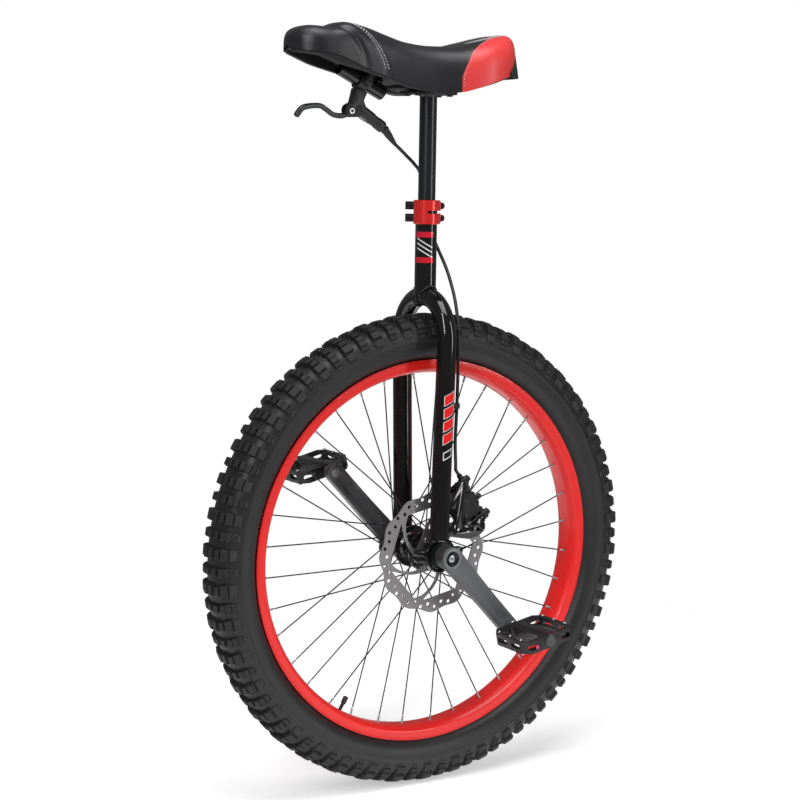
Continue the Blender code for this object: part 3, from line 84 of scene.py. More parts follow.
def side_name(side: int) -> str:
    """Returns "left" or "right"."""
    return "left" if side > 0 else "right"


# ------------------------------------------------------------------ modelling
class Shaping:
    """Edit mode on one piece, left again at the end of the with block."""

    def __init__(self, piece: Piece) -> None:
        """Keeps the piece to be shaped."""
        self.piece = piece

    def __enter__(self) -> "Shaping":
        """Enters edit mode with nothing selected."""
        alone(self.piece)
        bpy.ops.object.mode_set(mode="EDIT")
        bpy.ops.mesh.select_mode(type="FACE")
        bpy.ops.mesh.select_all(action="DESELECT")
        return self

    def __exit__(self, *_: object) -> None:
        """Goes back to object mode."""
        bpy.ops.object.mode_set(mode="OBJECT")

    def faces(self, test: Callable[[Vector, Vector], bool]) -> None:
        """Selects the faces whose middle and normal pass the test.

        Args:
            test: Takes a face's middle and its normal.
        """
        bpy.ops.mesh.select_mode(type="FACE")
        bpy.ops.mesh.select_all(action="DESELECT")
        shape = bmesh.from_edit_mesh(self.piece.data)
        for face in shape.faces:
            face.select_set(test(face.calc_center_median(), face.normal))
        bmesh.update_edit_mesh(self.piece.data)

    def everything(self) -> None:
        """Selects all of the piece."""
        bpy.ops.mesh.select_all(action="SELECT")

    def tidy(self) -> None:
        """Merges doubled points and turns every face outwards."""
        self.everything()
        bpy.ops.mesh.remove_doubles(threshold=WELD)
        bpy.ops.mesh.normals_make_consistent(inside=False)


def alone(*pieces: Piece) -> None:
    """Selects only these pieces, with the first one active."""
    if bpy.context.object and bpy.context.object.mode != "OBJECT":
        bpy.ops.object.mode_set(mode="OBJECT")
    bpy.ops.object.select_all(action="DESELECT")
    for piece in pieces:
        piece.select_set(True)
    bpy.context.view_layer.objects.active = pieces[0]


def cleaned(piece: Piece) -> Piece:
    """Returns a piece with its doubled points merged and its faces turned outwards."""
    with Shaping(piece) as shaping:
        shaping.tidy()
    return piece


def placed(piece: Piece, placing: Matrix) -> Piece:
    """Moves a piece by a placing and keeps the place in its mesh.

    Args:
        piece: The piece, at the origin.
        placing: Where it goes.

    Returns:
        The same piece.
    """
    alone(piece)
    piece.matrix_world = placing @ piece.matrix_world
    bpy.ops.object.transform_apply(location=True, rotation=True, scale=True)
    return piece


def joined(first: Piece, *others: Piece) -> Piece:
    """Returns the first piece with the others joined into it."""
    if others:
        alone(first, *others)
        bpy.ops.object.join()
    return first


def modified(piece: Piece, kind: str, **settings: object) -> Piece:
    """Applies one modifier to a piece.

    Args:
        piece: The piece to change.
        kind: The modifier's type.
        **settings: The modifier's values.

    Returns:
        The same piece.
    """
    alone(piece)
    step = piece.modifiers.new("step", kind)
    for name, value in settings.items():
        setattr(step, name, value)
    bpy.ops.object.modifier_apply(modifier=step.name)
    return piece


def bevelled(piece: Piece, width: float, segments: int = 2, angle: float = 35.0) -> Piece:
    """Rounds the edges of a piece that are sharper than an angle in degrees."""
    return modified(
        piece, "BEVEL", width=width, segments=segments, limit_method="ANGLE",
        angle_limit=math.radians(angle),
    )


def softened(piece: Piece, angle: float = 40.0) -> Piece:
    """Shades a piece smooth, apart from edges sharper than an angle in degrees."""
    alone(piece)
    bpy.ops.object.shade_smooth_by_angle(angle=math.radians(angle))
    return piece


def combined(piece: Piece, others: Sequence[Piece], operation: str) -> Piece:
    """Joins to a piece, or cuts from it, each of the others.

    Args:
        piece: The piece to change.
        others: The solids to add or to cut with, which are used up.
        operation: "UNION" or "DIFFERENCE".

    Returns:
        The changed piece.
    """
    for other in others:
        modified(piece, "BOOLEAN", operation=operation, object=other, solver="EXACT")
        bpy.data.objects.remove(other)
    return piece


def cut(piece: Piece, *cutters: Piece) -> Piece:
    """Returns the piece with the cutters taken from it."""
    return combined(piece, cutters, "DIFFERENCE")


def fused(piece: Piece, *others: Piece) -> Piece:
    """Returns the piece made one solid with the others."""
    return combined(piece, others, "UNION")


def block(
    low: Point, high: Point, rounding: float = 0.0, segments: int = 2, placing: Matrix | None = None
) -> Piece:
    """Makes a block with rounded edges.

    Args:
        low: Its lowest corner.
        high: Its highest corner.
        rounding: The width of the rounding.
        segments: The steps of the rounding.
        placing: Where its space goes, if anywhere.

    Returns:
        The block.
    """
    low, high = Vector(low), Vector(high)
    bpy.ops.object.select_all(action="DESELECT")
    bpy.ops.mesh.primitive_cube_add(size=1.0, location=(low + high) / 2)
    made = bpy.context.object
    made.scale = high - low
    placed(made, placing or Matrix())
    return bevelled(made, rounding, segments) if rounding else made


def along(start: Point, end: Point) -> Matrix:
    """Returns the placing that runs local Z from start to end, with its origin at start."""
    start, end = Vector(start), Vector(end)
    return Matrix.Translation(start) @ (end - start).to_track_quat("Z", "Y").to_matrix().to_4x4()


def lathe(
    profile: Sequence[Point], placing: Matrix | None = None, steps: int = 48, ring: bool = False
) -> Piece:
    """Turns a profile about local Z.

    Args:
        profile: Its (radius, height) points.
        placing: Where local Z goes, if it moves.
        steps: How many sides the turn has.
        ring: Whether the profile is a closed loop.

    Returns:
        The turned piece.
    """
    line = flat_curve([(r, h) for r, h in profile], closed=ring)
    placed(line, Matrix.Rotation(math.pi / 2, 4, "X"))
    with Shaping(line) as shaping:
        shaping.everything()
        bpy.ops.mesh.spin(steps=steps, angle=math.tau, center=(0, 0, 0), axis=(0, 0, 1))
        shaping.tidy()
    return placed(line, placing or Matrix())


def new_curve(dimensions: str, **values: object) -> bpy.types.Curve:
    """Returns an empty curve with these values set."""
    curve = bpy.data.curves.new("line", "CURVE")
    curve.dimensions = dimensions
    for name, value in values.items():
        setattr(curve, name, value)
    return curve


def flat_curve(points: Sequence[Point], closed: bool) -> Piece:
    """Returns a line of edges through flat points, as a mesh."""
    curve = new_curve("2D", fill_mode="NONE")
    add_loop(curve, points, closed)
    return as_mesh(curve)


def add_loop(curve: bpy.types.Curve, points: Sequence[Point], closed: bool) -> None:
    """Adds one line through the points to a curve."""
    spline = curve.splines.new("POLY")
    spline.points.add(len(points) - 1)
    for corner, point in zip(spline.points, points):
        corner.co = (*point, *(0.0,) * (3 - len(point)), 1.0)
    spline.use_cyclic_u = closed


def as_mesh(curve: bpy.types.Curve) -> Piece:
    """Returns a new piece with the mesh of a curve."""
    made = bpy.data.objects.new("shape", curve)
    bpy.context.scene.collection.objects.link(made)
    alone(made)
    bpy.ops.object.convert(target="MESH")
    return bpy.context.object


def plate(
    loops: Sequence[Sequence[Point]], thickness: float, placing: Matrix | None = None,
    rounding: float = 0.0,
) -> Piece:
    """Makes a flat plate from its outline and its holes.

    Args:
        loops: The outline, then each hole, as (x, y) points.
        thickness: How thick it is, centred on local Z.
        placing: Where it goes.
        rounding: The width of its edges' rounding.

    Returns:
        The plate.
    """
    curve = new_curve("2D", fill_mode="BOTH", extrude=thickness / 2)
    for loop in loops:
        add_loop(curve, loop, True)
    made = cleaned(as_mesh(curve))
    if rounding:
        with Shaping(made) as shaping:
            shaping.everything()
            bpy.ops.mesh.dissolve_limited(angle_limit=math.radians(1))
        bevelled(made, rounding, 2, 50)
    return placed(made, placing or Matrix())


def sweep(points: Sequence[Point], radius: float | Sequence[float], sides: int = 5) -> Piece:
    """Makes a round bar along a path.

    Args:
        points: The path.
        radius: Its radius, or one for each point.
        sides: The fineness of its section.

    Returns:
        The bar, with closed ends.
    """
    even = isinstance(radius, (int, float))
    depth = radius if even else 1.0
    curve = new_curve("3D", bevel_resolution=sides, use_fill_caps=True, bevel_depth=depth)
    add_loop(curve, points, False)
    if not even:
        for corner, size in zip(curve.splines[0].points, radius):
            corner.radius = size
    return cleaned(as_mesh(curve))


def smooth_path(route: Sequence[Point], steps: int = 6) -> list[Vector]:
    """Returns a rounded line through the route's points.

    Args:
        route: The points that it passes through.
        steps: How many steps go between two of them.

    Returns:
        The points of the line.
    """
    points = [Vector(p) for p in route]
    padded = [2 * points[0] - points[1], *points, 2 * points[-1] - points[-2]]
    found = []
    for a, b, c, d in zip(padded, padded[1:], padded[2:], padded[3:]):
        for i in range(steps):
            t = i / steps
            pull = (2 * a - 5 * b + 4 * c - d) * t**2 + (3 * b - a - 3 * c + d) * t**3
            found.append(0.5 * (2 * b + (c - a) * t + pull))
    return [*found, points[-1]]


def rod(start: Point, end: Point, radius: float, rounding: float = 0.0, sides: int = 40) -> Piece:
    """Makes a round rod between two points.

    Args:
        start: The middle of its first end.
        end: The middle of its other end.
        radius: Its radius.
        rounding: The width of the rounding of its rims.
        sides: How many sides it has.

    Returns:
        The rod.
    """
    length = (Vector(end) - Vector(start)).length
    rims = [(radius, 0.0), (radius, length)]
    if rounding:
        near = rounding * 0.3
        rims = [
            (radius - rounding, 0.0), (radius - near, near), (radius, rounding),
            (radius, length - rounding), (radius - near, length - near),
            (radius - rounding, length),
        ]
    return lathe([(0.0, 0.0), *rims, (0.0, length)], along(start, end), sides)


def loft(rings: Sequence[Sequence[Vector]]) -> Piece:
    """Lays a skin over rows of points.

    Args:
        rings: The rows, each a closed ring with the same number of points.

    Returns:
        The skin, with its ends filled.
    """
    rows = [[*ring, ring[0]] for ring in rings]
    wide, long = len(rows[0]) - 1, len(rows) - 1
    bpy.ops.object.select_all(action="DESELECT")
    bpy.ops.mesh.primitive_grid_add(x_subdivisions=wide, y_subdivisions=long, size=1.0)
    made = bpy.context.object
    for corner in made.data.vertices:
        i, j = round((corner.co.x + 0.5) * wide), round((corner.co.y + 0.5) * long)
        corner.co = rows[j][i]
    with Shaping(made) as shaping:
        shaping.everything()
        bpy.ops.mesh.remove_doubles(threshold=WELD)
        bpy.ops.mesh.select_mode(type="EDGE")
        shaping.everything()
        bpy.ops.mesh.fill_holes(sides=0)
        shaping.tidy()
    return made


def tube_section(inner: float, outer: float, low: float, high: float, ease: float) -> list[Point]:
    """Returns the (radius, height) loop of a tube whose outer rims are eased."""
    return [
        (inner, low), (outer - ease, low), (outer, low + ease), (outer, high - ease),
        (outer - ease, high), (inner, high),
    ]


def ring_points(
    radius: float, count: int, centre: Point = (0.0, 0.0), start: float = 0.0
) -> list[tuple[float, float]]:
    """Returns points round a circle."""
    angles = [start + math.tau * i / count for i in range(count)]
    return [(centre[0] + radius * math.cos(a), centre[1] + radius * math.sin(a)) for a in angles]


def round_axle(piece: Piece, count: int) -> Piece:
    """Repeats a piece evenly round the axle.

    Args:
        piece: The piece, at its first place.
        count: How many there are in all.

    Returns:
        One piece that holds them all.
    """
    with Shaping(piece) as shaping:
        shaping.everything()
        bpy.ops.mesh.spin(
            steps=count - 1, angle=math.tau * (count - 1) / count, center=AXLE, axis=(0, 1, 0),
            dupli=True,
        )
    return piece


def at(place: Point, degrees: float = 0.0, axis: str = "X") -> Matrix:
    """Returns the placing that turns about an axis and then moves to a place."""
    return Matrix.Translation(place) @ Matrix.Rotation(math.radians(degrees), 4, axis)


ACROSS = at(AXLE, -90)
UPRIGHT = at(AXLE, 90)


def facing(side: int) -> Matrix:
    """Returns the placing at the axle with local Z to the outside of one side."""
    return ACROSS if side > 0 else UPRIGHT


def wheel_point(radius: float, angle: float, y: float) -> Vector:
    """Returns a place on the wheel from its radius, its angle and its distance to the left."""
    return up(radius * math.cos(angle), y, radius * math.sin(angle))


# ------------------------------------------------------------------ finishes
class Texture(Enum):
    """The small relief of a surface."""

    ORANGE_PEEL = "orange_peel"
    BRUSHED = "brushed"
    MOULDED = "moulded"
    LEATHER = "leather"


class Wiring:
    """Adds nodes to a tree and links them."""

    def __init__(self, tree: bpy.types.NodeTree) -> None:
        """Keeps the tree."""
        self.tree = tree

    def node(
        self, kind: str, inputs: dict[str | int, object] | None = None, **values: object
    ) -> bpy.types.Node:
        """Adds a node.

        Args:
            kind: The node's type, without its prefix.
            inputs: Values or sockets for its inputs.
            **values: Its settings.

        Returns:
            The node.
        """
        made = self.tree.nodes.new(kind if kind.startswith("Node") else "ShaderNode" + kind)
        for name, value in values.items():
            setattr(made, name, value)
        self.fill(made, inputs or {})
        return made

    def fill(self, node: bpy.types.Node, inputs: dict[str | int, object]) -> None:
        """Links the sockets to a node's inputs and sets its other values."""
        for key, value in inputs.items():
            if isinstance(value, bpy.types.NodeSocket):
                self.tree.links.new(value, node.inputs[key])
            else:
                node.inputs[key].default_value = value

    def math(
        self, operation: str, first: object, second: object = 0.0, clamp: bool = False
    ) -> bpy.types.NodeSocket:
        """Adds a sum and returns its result."""
        return self.node(
            "Math", {0: first, 1: second}, operation=operation, use_clamp=clamp
        ).outputs[0]

    def ramp(self, value: bpy.types.NodeSocket, low: float, high: float) -> bpy.types.NodeSocket:
        """Returns a value stretched from low to high into 0 to 1."""
        inputs = {"Value": value, "From Min": low, "From Max": high}
        return self.node("MapRange", inputs, clamp=True).outputs["Result"]

    def mixed(self, share: object, first: object, second: object) -> bpy.types.NodeSocket:
        """Returns a colour between two."""
        inputs = {0: share, 6: first, 7: second}
        return self.node("Mix", inputs, data_type="RGBA").outputs[2]

    def noise(
        self, vector: bpy.types.NodeSocket, scale: object, detail: float, roughness: float = 0.5
    ) -> bpy.types.NodeSocket:
        """Returns cloudy noise from 0 to 1."""
        inputs = {"Vector": vector, "Scale": scale, "Detail": detail, "Roughness": roughness}
        return self.node("TexNoise", inputs).outputs["Fac"]

    def group(self, name: str, inputs: dict[str, object]) -> bpy.types.Node:
        """Adds one of the shared groups."""
        return self.node("Group", inputs, node_tree=GROUPS[name])


def new_group(
    name: str, inputs: dict[str, str], outputs: dict[str, str]
) -> tuple[Wiring, dict, bpy.types.Node]:
    """Starts a shader node group.

    Args:
        name: The group's name.
        inputs: Each input's name and socket type.
        outputs: Each output's name and socket type.

    Returns:
        Its wiring, its inputs by name, and the node that takes its results.
    """
    tree = bpy.data.node_groups.new(name, "ShaderNodeTree")
    for names, way in ((inputs, "INPUT"), (outputs, "OUTPUT")):
        for socket, kind in names.items():
            tree.interface.new_socket(socket, in_out=way, socket_type="NodeSocket" + kind)
    wiring = Wiring(tree)
    start, end = wiring.node("NodeGroupInput"), wiring.node("NodeGroupOutput")
    return wiring, {socket: start.outputs[socket] for socket in inputs}, end


SPECK_SCALE = 900.0
WEAR_SCALE = 35.0
DUST_COLOUR = (0.32, 0.31, 0.3, 1.0)
ROUGHNESS_SWING = 0.16
BUMP_DISTANCE = 0.0004
COAT_ROUGHNESS = 0.06


def tone_group() -> bpy.types.NodeTree:
    """Returns the group that varies a colour in clouds and specks, with dust on top faces."""
    wiring, given, end = new_group(
        "surface_tone",
        {
            "Vector": "Vector", "Colour": "Color", "Scale": "Float", "Amount": "Float",
            "Dust": "Float",
        },
        {"Colour": "Color", "Mask": "Float"},
    )
    clouds = wiring.noise(given["Vector"], given["Scale"], 5.0)
    specks = wiring.noise(given["Vector"], SPECK_SCALE, 2.0)
    both = wiring.math("ADD", clouds, wiring.math("MULTIPLY", specks, 0.35))
    swing = wiring.math("MULTIPLY", wiring.math("SUBTRACT", both, 0.67), given["Amount"])
    bright = wiring.math("ADD", swing, 1.0)
    scaled = wiring.node("VectorMath", {0: given["Colour"], "Scale": bright}, operation="SCALE")
    normal = wiring.node("NewGeometry").outputs["Normal"]
    upward = wiring.node("SeparateXYZ", {0: normal}).outputs["Z"]
    settled = wiring.math(
        "MULTIPLY", wiring.ramp(upward, 0.2, 1.0), wiring.ramp(clouds, 0.45, 0.75)
    )
    dusty = wiring.math("MULTIPLY", settled, given["Dust"])
    colour = wiring.mixed(dusty, scaled.outputs[0], DUST_COLOUR)
    wiring.fill(end, {"Colour": colour, "Mask": clouds})
    return wiring.tree


def relief_group(kind: Texture) -> bpy.types.NodeTree:
    """Returns the group whose height is one kind of small relief."""
    wiring, given, end = new_group(
        kind.value + "_relief", {"Vector": "Vector", "Scale": "Float"}, {"Height": "Float"}
    )
    vector, scale = given["Vector"], given["Scale"]
    if kind is Texture.LEATHER:
        cells = wiring.node(
            "TexVoronoi", {"Vector": vector, "Scale": scale}, feature="DISTANCE_TO_EDGE"
        )
        fine = wiring.noise(vector, 1400.0, 2.0)
        folds = wiring.ramp(cells.outputs["Distance"], 0.0, 0.22)
        height = wiring.math("ADD", folds, wiring.math("MULTIPLY", fine, 0.25))
    elif kind is Texture.BRUSHED:
        stretched = wiring.node("Mapping", {"Vector": vector, "Scale": (1.0, 14.0, 1.0)}).outputs[0]
        height = wiring.noise(stretched, scale, 4.0)
    elif kind is Texture.MOULDED:
        grain = wiring.noise(vector, scale, 6.0, 0.7)
        pits = wiring.node("TexVoronoi", {"Vector": vector, "Scale": scale}).outputs["Distance"]
        height = wiring.math("ADD", grain, wiring.math("MULTIPLY", pits, 0.4))
    else:
        height = wiring.noise(vector, scale, 1.5)
    wiring.fill(end, {"Height": height})
    return wiring.tree


def wear_group() -> bpy.types.NodeTree:
    """Returns the group that finds scuffed, worn places in a colour."""
    wiring, given, end = new_group(
        "worn_spots", {"Vector": "Vector", "Scale": "Float", "Amount": "Float"}, {"Mask": "Float"}
    )
    broad = wiring.noise(given["Vector"], given["Scale"], 8.0)
    scratch = wiring.node(
        "Mapping", {"Vector": given["Vector"], "Scale": (1.0, 1.0, 12.0)}
    ).outputs[0]
    lines = wiring.noise(scratch, 160.0, 3.0)
    spots = wiring.math("MULTIPLY", wiring.ramp(broad, 0.56, 0.7), wiring.ramp(lines, 0.52, 0.66))
    wiring.fill(end, {"Mask": wiring.math("MULTIPLY", spots, given["Amount"])})
    return wiring.tree


def panel_group() -> bpy.types.NodeTree:
    """Returns the group that marks one slanted painted bar."""
    wiring, given, end = new_group(
        "painted_bar",
        {
            "Across": "Float", "Along": "Float", "Middle": "Float", "Half": "Float",
            "Width": "Float", "Slant": "Float",
        },
        {"Mask": "Float"},
    )
    leaned = wiring.math(
        "ADD", given["Along"], wiring.math("MULTIPLY", given["Across"], given["Slant"])
    )
    away = wiring.math("ABSOLUTE", wiring.math("SUBTRACT", leaned, given["Middle"]))
    inside = wiring.math("LESS_THAN", away, given["Half"])
    near = wiring.math("LESS_THAN", wiring.math("ABSOLUTE", given["Across"]), given["Width"])
    wiring.fill(end, {"Mask": wiring.math("MULTIPLY", inside, near)})
    return wiring.tree


GROUPS: dict[str, bpy.types.NodeTree] = {
    "tone": tone_group(), "wear": wear_group(), "bar": panel_group(),
    **{kind.value: relief_group(kind) for kind in Texture},
}


@dataclass(frozen=True)
class Stripe:
    """A plain painted bar: which way it faces, where it is along Z, and its size."""

    facing: tuple[float, float]
    middle: float
    half: float
    width: float
    slant: float
    colour: tuple[float, float, float]


@dataclass(frozen=True)
class Finish:
    """A surface finish, made as a procedural material."""

    name: str
    slot: str
    colour: tuple[float, float, float]
    roughness: float
    metallic: float = 0.0
    coat: float = 0.0
    texture: Texture = Texture.ORANGE_PEEL
    texture_scale: float = 500.0
    depth: float = 0.05
    tone_scale: float = 22.0
    tone: float = 0.35
    dust: float = 0.0
    wear: float = 0.0
    worn_colour: tuple[float, float, float] = (0.3, 0.3, 0.3)
    specular: float = 0.5
    stripes: tuple[Stripe, ...] = ()
    panels: tuple[tuple[str, tuple[float, float, float]], ...] = ()

    def material(self) -> bpy.types.Material:
        """Returns the finish's material, made the first time it is asked for."""
        if self.name in bpy.data.materials:
            return bpy.data.materials[self.name]
        made = bpy.data.materials.new(self.name)
        made.use_nodes = True
        wiring = Wiring(made.node_tree)
        shader = made.node_tree.nodes["Principled BSDF"]
        place = wiring.node("TexCoord").outputs["Object"]
        colour, mask = self.tinted(wiring, place)
        for name, tint in self.panels:
            edge = wiring.node("Attribute", attribute_name=name).outputs["Fac"]
            colour = wiring.mixed(wiring.ramp(edge, 0.499, 0.501), colour, (*tint, 1.0))
        across = wiring.node("SeparateXYZ", {0: place})
        for stripe in self.stripes:
            colour = wiring.mixed(self.bar(wiring, across, stripe), colour, (*stripe.colour, 1.0))
        relief = wiring.group(self.texture.value, {"Vector": place, "Scale": self.texture_scale})
        if self.wear:
            inputs = {"Vector": place, "Scale": WEAR_SCALE, "Amount": self.wear}
            worn = wiring.group("wear", inputs).outputs["Mask"]
            colour = wiring.mixed(worn, colour, (*self.worn_colour, 1.0))
        rough = wiring.math("MULTIPLY_ADD", mask, ROUGHNESS_SWING)
        rough.node.inputs[2].default_value = self.roughness - ROUGHNESS_SWING / 2
        height = {"Height": relief.outputs[0], "Strength": self.depth, "Distance": BUMP_DISTANCE}
        wiring.fill(
            shader,
            {
                "Base Color": colour, "Roughness": rough,
                "Normal": wiring.node("Bump", height).outputs["Normal"], "Metallic": self.metallic,
                "Coat Weight": self.coat, "Coat Roughness": COAT_ROUGHNESS,
                "Specular IOR Level": self.specular,
            },
        )
        return made

    def tinted(self, wiring: Wiring, place: bpy.types.NodeSocket) -> tuple:
        """Returns the varied colour and the mask that it varies by."""
        tone = wiring.group(
            "tone",
            {
                "Vector": place, "Colour": (*self.colour, 1.0), "Scale": self.tone_scale,
                "Amount": self.tone, "Dust": self.dust,
            },
        )
        return tone.outputs["Colour"], tone.outputs["Mask"]

    @staticmethod
    def bar(wiring: Wiring, place: bpy.types.Node, stripe: Stripe) -> bpy.types.NodeSocket:
        """Returns the mask of one painted bar, on the side that it faces."""
        x, y = stripe.facing
        inputs = [
            wiring.math("MULTIPLY", place.outputs[i], v)
            for i, v in ((0, y), (1, -x), (0, x), (1, y))
        ]
        across = wiring.math("ADD", inputs[0], inputs[1])
        toward = wiring.math("ADD", inputs[2], inputs[3])
        made = wiring.group(
            "bar",
            {
                "Across": across, "Along": place.outputs["Z"], "Middle": stripe.middle,
                "Half": stripe.half, "Width": stripe.width, "Slant": stripe.slant,
            },
        )
        return wiring.math(
            "MULTIPLY", made.outputs["Mask"], wiring.math("GREATER_THAN", toward, 0.0)
        )


RED_PAINT = (0.8, 0.016, 0.014)
WHITE_PAINT = (0.75, 0.75, 0.76)


def leg_stripes() -> tuple[Stripe, ...]:
    """Returns the left leg's plain slanted bars, white under red, and the mark below them."""
    bars = []
    for number in range(4):
        middle = 0.585 - 0.019 * number
        bars.append(Stripe((0.0, 1.0), middle, 0.0076, 0.0082, 0.5, WHITE_PAINT))
        bars.append(Stripe((0.0, 1.0), middle, 0.0068, 0.0074, 0.5, RED_PAINT))
    bars.append(Stripe((0.0, 1.0), 0.503, 0.006, 0.007, 0.5, WHITE_PAINT))
    bars.append(Stripe((0.0, 1.0), 0.503, 0.0042, 0.0058, 0.5, (0.008, 0.008, 0.009)))
    return tuple(bars)


def tube_stripes() -> tuple[Stripe, ...]:
    """Returns the seat tube's plain bands: two red ones with thin white lines between."""
    way = (math.sin(math.radians(40)), math.cos(math.radians(40)))
    bands = [Stripe(way, z, 0.004, 0.0125, 0.0, (0.62, 0.012, 0.03)) for z in (0.819, 0.782)]
    lines = [Stripe(way, z, 0.001, 0.011, -0.6, WHITE_PAINT) for z in (0.807, 0.8, 0.793)]
    return (*bands, *lines)


FRAME_BLACK = Finish(
    "frame_gloss_black", "frame_paint", (0.0045, 0.0042, 0.005), 0.14, coat=0.5, dust=0.005,
    tone=0.2, specular=0.3,
)
LEG_PAINT = replace(FRAME_BLACK, name="left_leg_gloss_black", stripes=leg_stripes())
TUBE_PAINT = Finish(
    "seat_tube_gloss_black", "frame_paint", (0.006, 0.006, 0.007), 0.14, coat=0.5, tone=0.2,
    specular=0.3, stripes=tube_stripes(),
)
POST_BLACK = Finish(
    "post_satin_black", "black_alloy", (0.016, 0.017, 0.02), 0.3, metallic=0.35,
    texture=Texture.BRUSHED, texture_scale=260.0, depth=0.04, coat=0.15,
)
RIM_RED = Finish(
    "rim_red", "red_alloy", RED_PAINT, 0.34, coat=0.25, tone=0.1, texture_scale=700.0, depth=0.03,
    specular=0.35,
)
CLAMP_RED = Finish(
    "clamp_red_anodised", "red_alloy", (0.74, 0.018, 0.016), 0.28, metallic=0.25, coat=0.4,
    tone=0.15,
)
CRANK_GREY = Finish(
    "crank_bead_blasted_grey", "crank_grey", (0.118, 0.122, 0.128), 0.46, metallic=0.45,
    texture=Texture.MOULDED, texture_scale=1500.0, depth=0.1, tone=0.18, wear=0.25,
    worn_colour=(0.3, 0.3, 0.31),
)
# Lighter copy of the crank grey. On the crank's face ring it is a painted highlight round the lip
# of the bolt recess; it is also used for the master cylinder's grey insert.
PALE_METAL_AND_RING_HIGHLIGHT = Finish(
    "pale_metal_and_painted_ring_highlight", "crank_grey", (0.2, 0.205, 0.21), 0.36, metallic=0.7,
    texture=Texture.BRUSHED,
)
# Darker copy of the crank grey for the boss: painted shade for the bolt recess that the boss walls
# in.
BOSS_PAINTED_SHADE = Finish(
    "crank_boss_painted_shade", "crank_grey", (0.05, 0.056, 0.054), 0.42, metallic=0.5, tone=0.2
)
SPACER_GREEN = Finish(
    "spacer_dark_green", "black_alloy", (0.006, 0.014, 0.011), 0.28, metallic=0.5, coat=0.4
)
BLACK_ALLOY = Finish(
    "black_alloy_satin", "black_alloy", (0.011, 0.011, 0.012), 0.36, metallic=0.3, wear=0.1
)
HUB_BLACK = Finish("hub_gloss_black", "black_alloy", (0.008, 0.008, 0.009), 0.24, coat=0.5)
SPOKE_BLACK = Finish(
    "spoke_black_steel", "black_steel", (0.022, 0.022, 0.024), 0.34, metallic=0.6, depth=0.02
)
NIPPLE_STEEL = Finish("nipple_nickel", "steel", (0.36, 0.35, 0.35), 0.34, metallic=0.9, tone=0.2)
BOLT_BLACK = Finish("bolt_black_steel", "black_steel", (0.014, 0.014, 0.015), 0.34, metallic=0.5)
STEEL = Finish(
    "brushed_steel", "steel", (0.56, 0.56, 0.57), 0.26, metallic=1.0, texture=Texture.BRUSHED,
    texture_scale=420.0, depth=0.06, tone=0.15,
)
ROTOR_STEEL = Finish(
    "rotor_ground_steel", "steel", (0.255, 0.245, 0.25), 0.4, metallic=0.75,
    texture=Texture.BRUSHED, texture_scale=520.0, depth=0.1, tone=0.25,
)
PEDAL_BLACK = Finish(
    "pedal_black", "black_alloy", (0.014, 0.013, 0.014), 0.36, metallic=0.2,
    texture=Texture.MOULDED, texture_scale=900.0, depth=0.1, wear=0.35,
    worn_colour=(0.07, 0.065, 0.065),
)
PINK_DOT = Finish("pedal_end_pink", "black_plastic", (0.55, 0.03, 0.14), 0.4)
CAP_GREY = Finish("pedal_cap_grey", "black_plastic", (0.055, 0.06, 0.062), 0.36)
CALIPER_BLACK = Finish(
    "caliper_black", "black_alloy", (0.006, 0.006, 0.0064), 0.46, specular=0.35,
    texture=Texture.MOULDED, texture_scale=1100.0, depth=0.1,
)
MATTE_BLACK = Finish(
    "lever_matte_black", "black_alloy", (0.013, 0.013, 0.014), 0.48, texture=Texture.MOULDED,
    texture_scale=1200.0, depth=0.08,
)
PLASTIC = Finish(
    "moulded_black_plastic", "black_plastic", (0.01, 0.01, 0.011), 0.5, texture=Texture.MOULDED,
    texture_scale=1000.0, depth=0.12,
)
LEVER_GREY = Finish(
    "lever_dark_anodised", "crank_grey", (0.055, 0.057, 0.06), 0.3, metallic=0.8, tone=0.15
)
HOSE_RUBBER = Finish("hose_black", "rubber", (0.008, 0.008, 0.009), 0.38, tone=0.2)
RUBBER = Finish(
    "plain_rubber", "rubber", (0.016, 0.016, 0.017), 0.6, texture=Texture.MOULDED, depth=0.2
)
PAD_GREY = Finish(
    "pad_compound", "crank_grey", (0.07, 0.06, 0.055), 0.7, texture=Texture.MOULDED, depth=0.4
)
SIDEWALL = Finish(
    "tyre_sidewall", "tyre_rubber", (0.015, 0.015, 0.016), 0.44, texture=Texture.MOULDED,
    texture_scale=600.0, depth=0.14, tone_scale=9.0, tone=0.55, dust=0.05, specular=0.4,
)
TREAD = Finish(
    "tyre_tread", "tyre_rubber", (0.014, 0.014, 0.0148), 0.6, texture=Texture.MOULDED,
    texture_scale=480.0, depth=0.25, tone_scale=30.0, tone=0.6, dust=0.05, wear=0.25,
    worn_colour=(0.06, 0.06, 0.06), specular=0.35,
)
TREAD_PAD = Finish(
    "tyre_shoulder_pads", "tyre_rubber", (0.03, 0.03, 0.032), 0.7, texture=Texture.MOULDED,
    texture_scale=800.0, depth=0.3, tone_scale=40.0, tone=0.9, specular=0.3,
)
VINYL = Finish(
    "saddle_grained_vinyl", "saddle_vinyl", (0.0125, 0.0125, 0.015), 0.34, texture=Texture.LEATHER,
    texture_scale=620.0, depth=0.16, tone_scale=14.0, tone=0.3, dust=0.015, specular=0.45,
    panels=(("red_panel", (0.7, 0.045, 0.043)), ("clear_patch", (0.36, 0.36, 0.37))),
)
THREAD = Finish(
    "white_thread", "saddle_vinyl", (0.7, 0.7, 0.71), 0.6, texture=Texture.MOULDED,
    texture_scale=1500.0,
)
PINK_THREAD = Finish(
    "pink_thread", "saddle_vinyl", (0.66, 0.34, 0.36), 0.6, texture=Texture.MOULDED
)


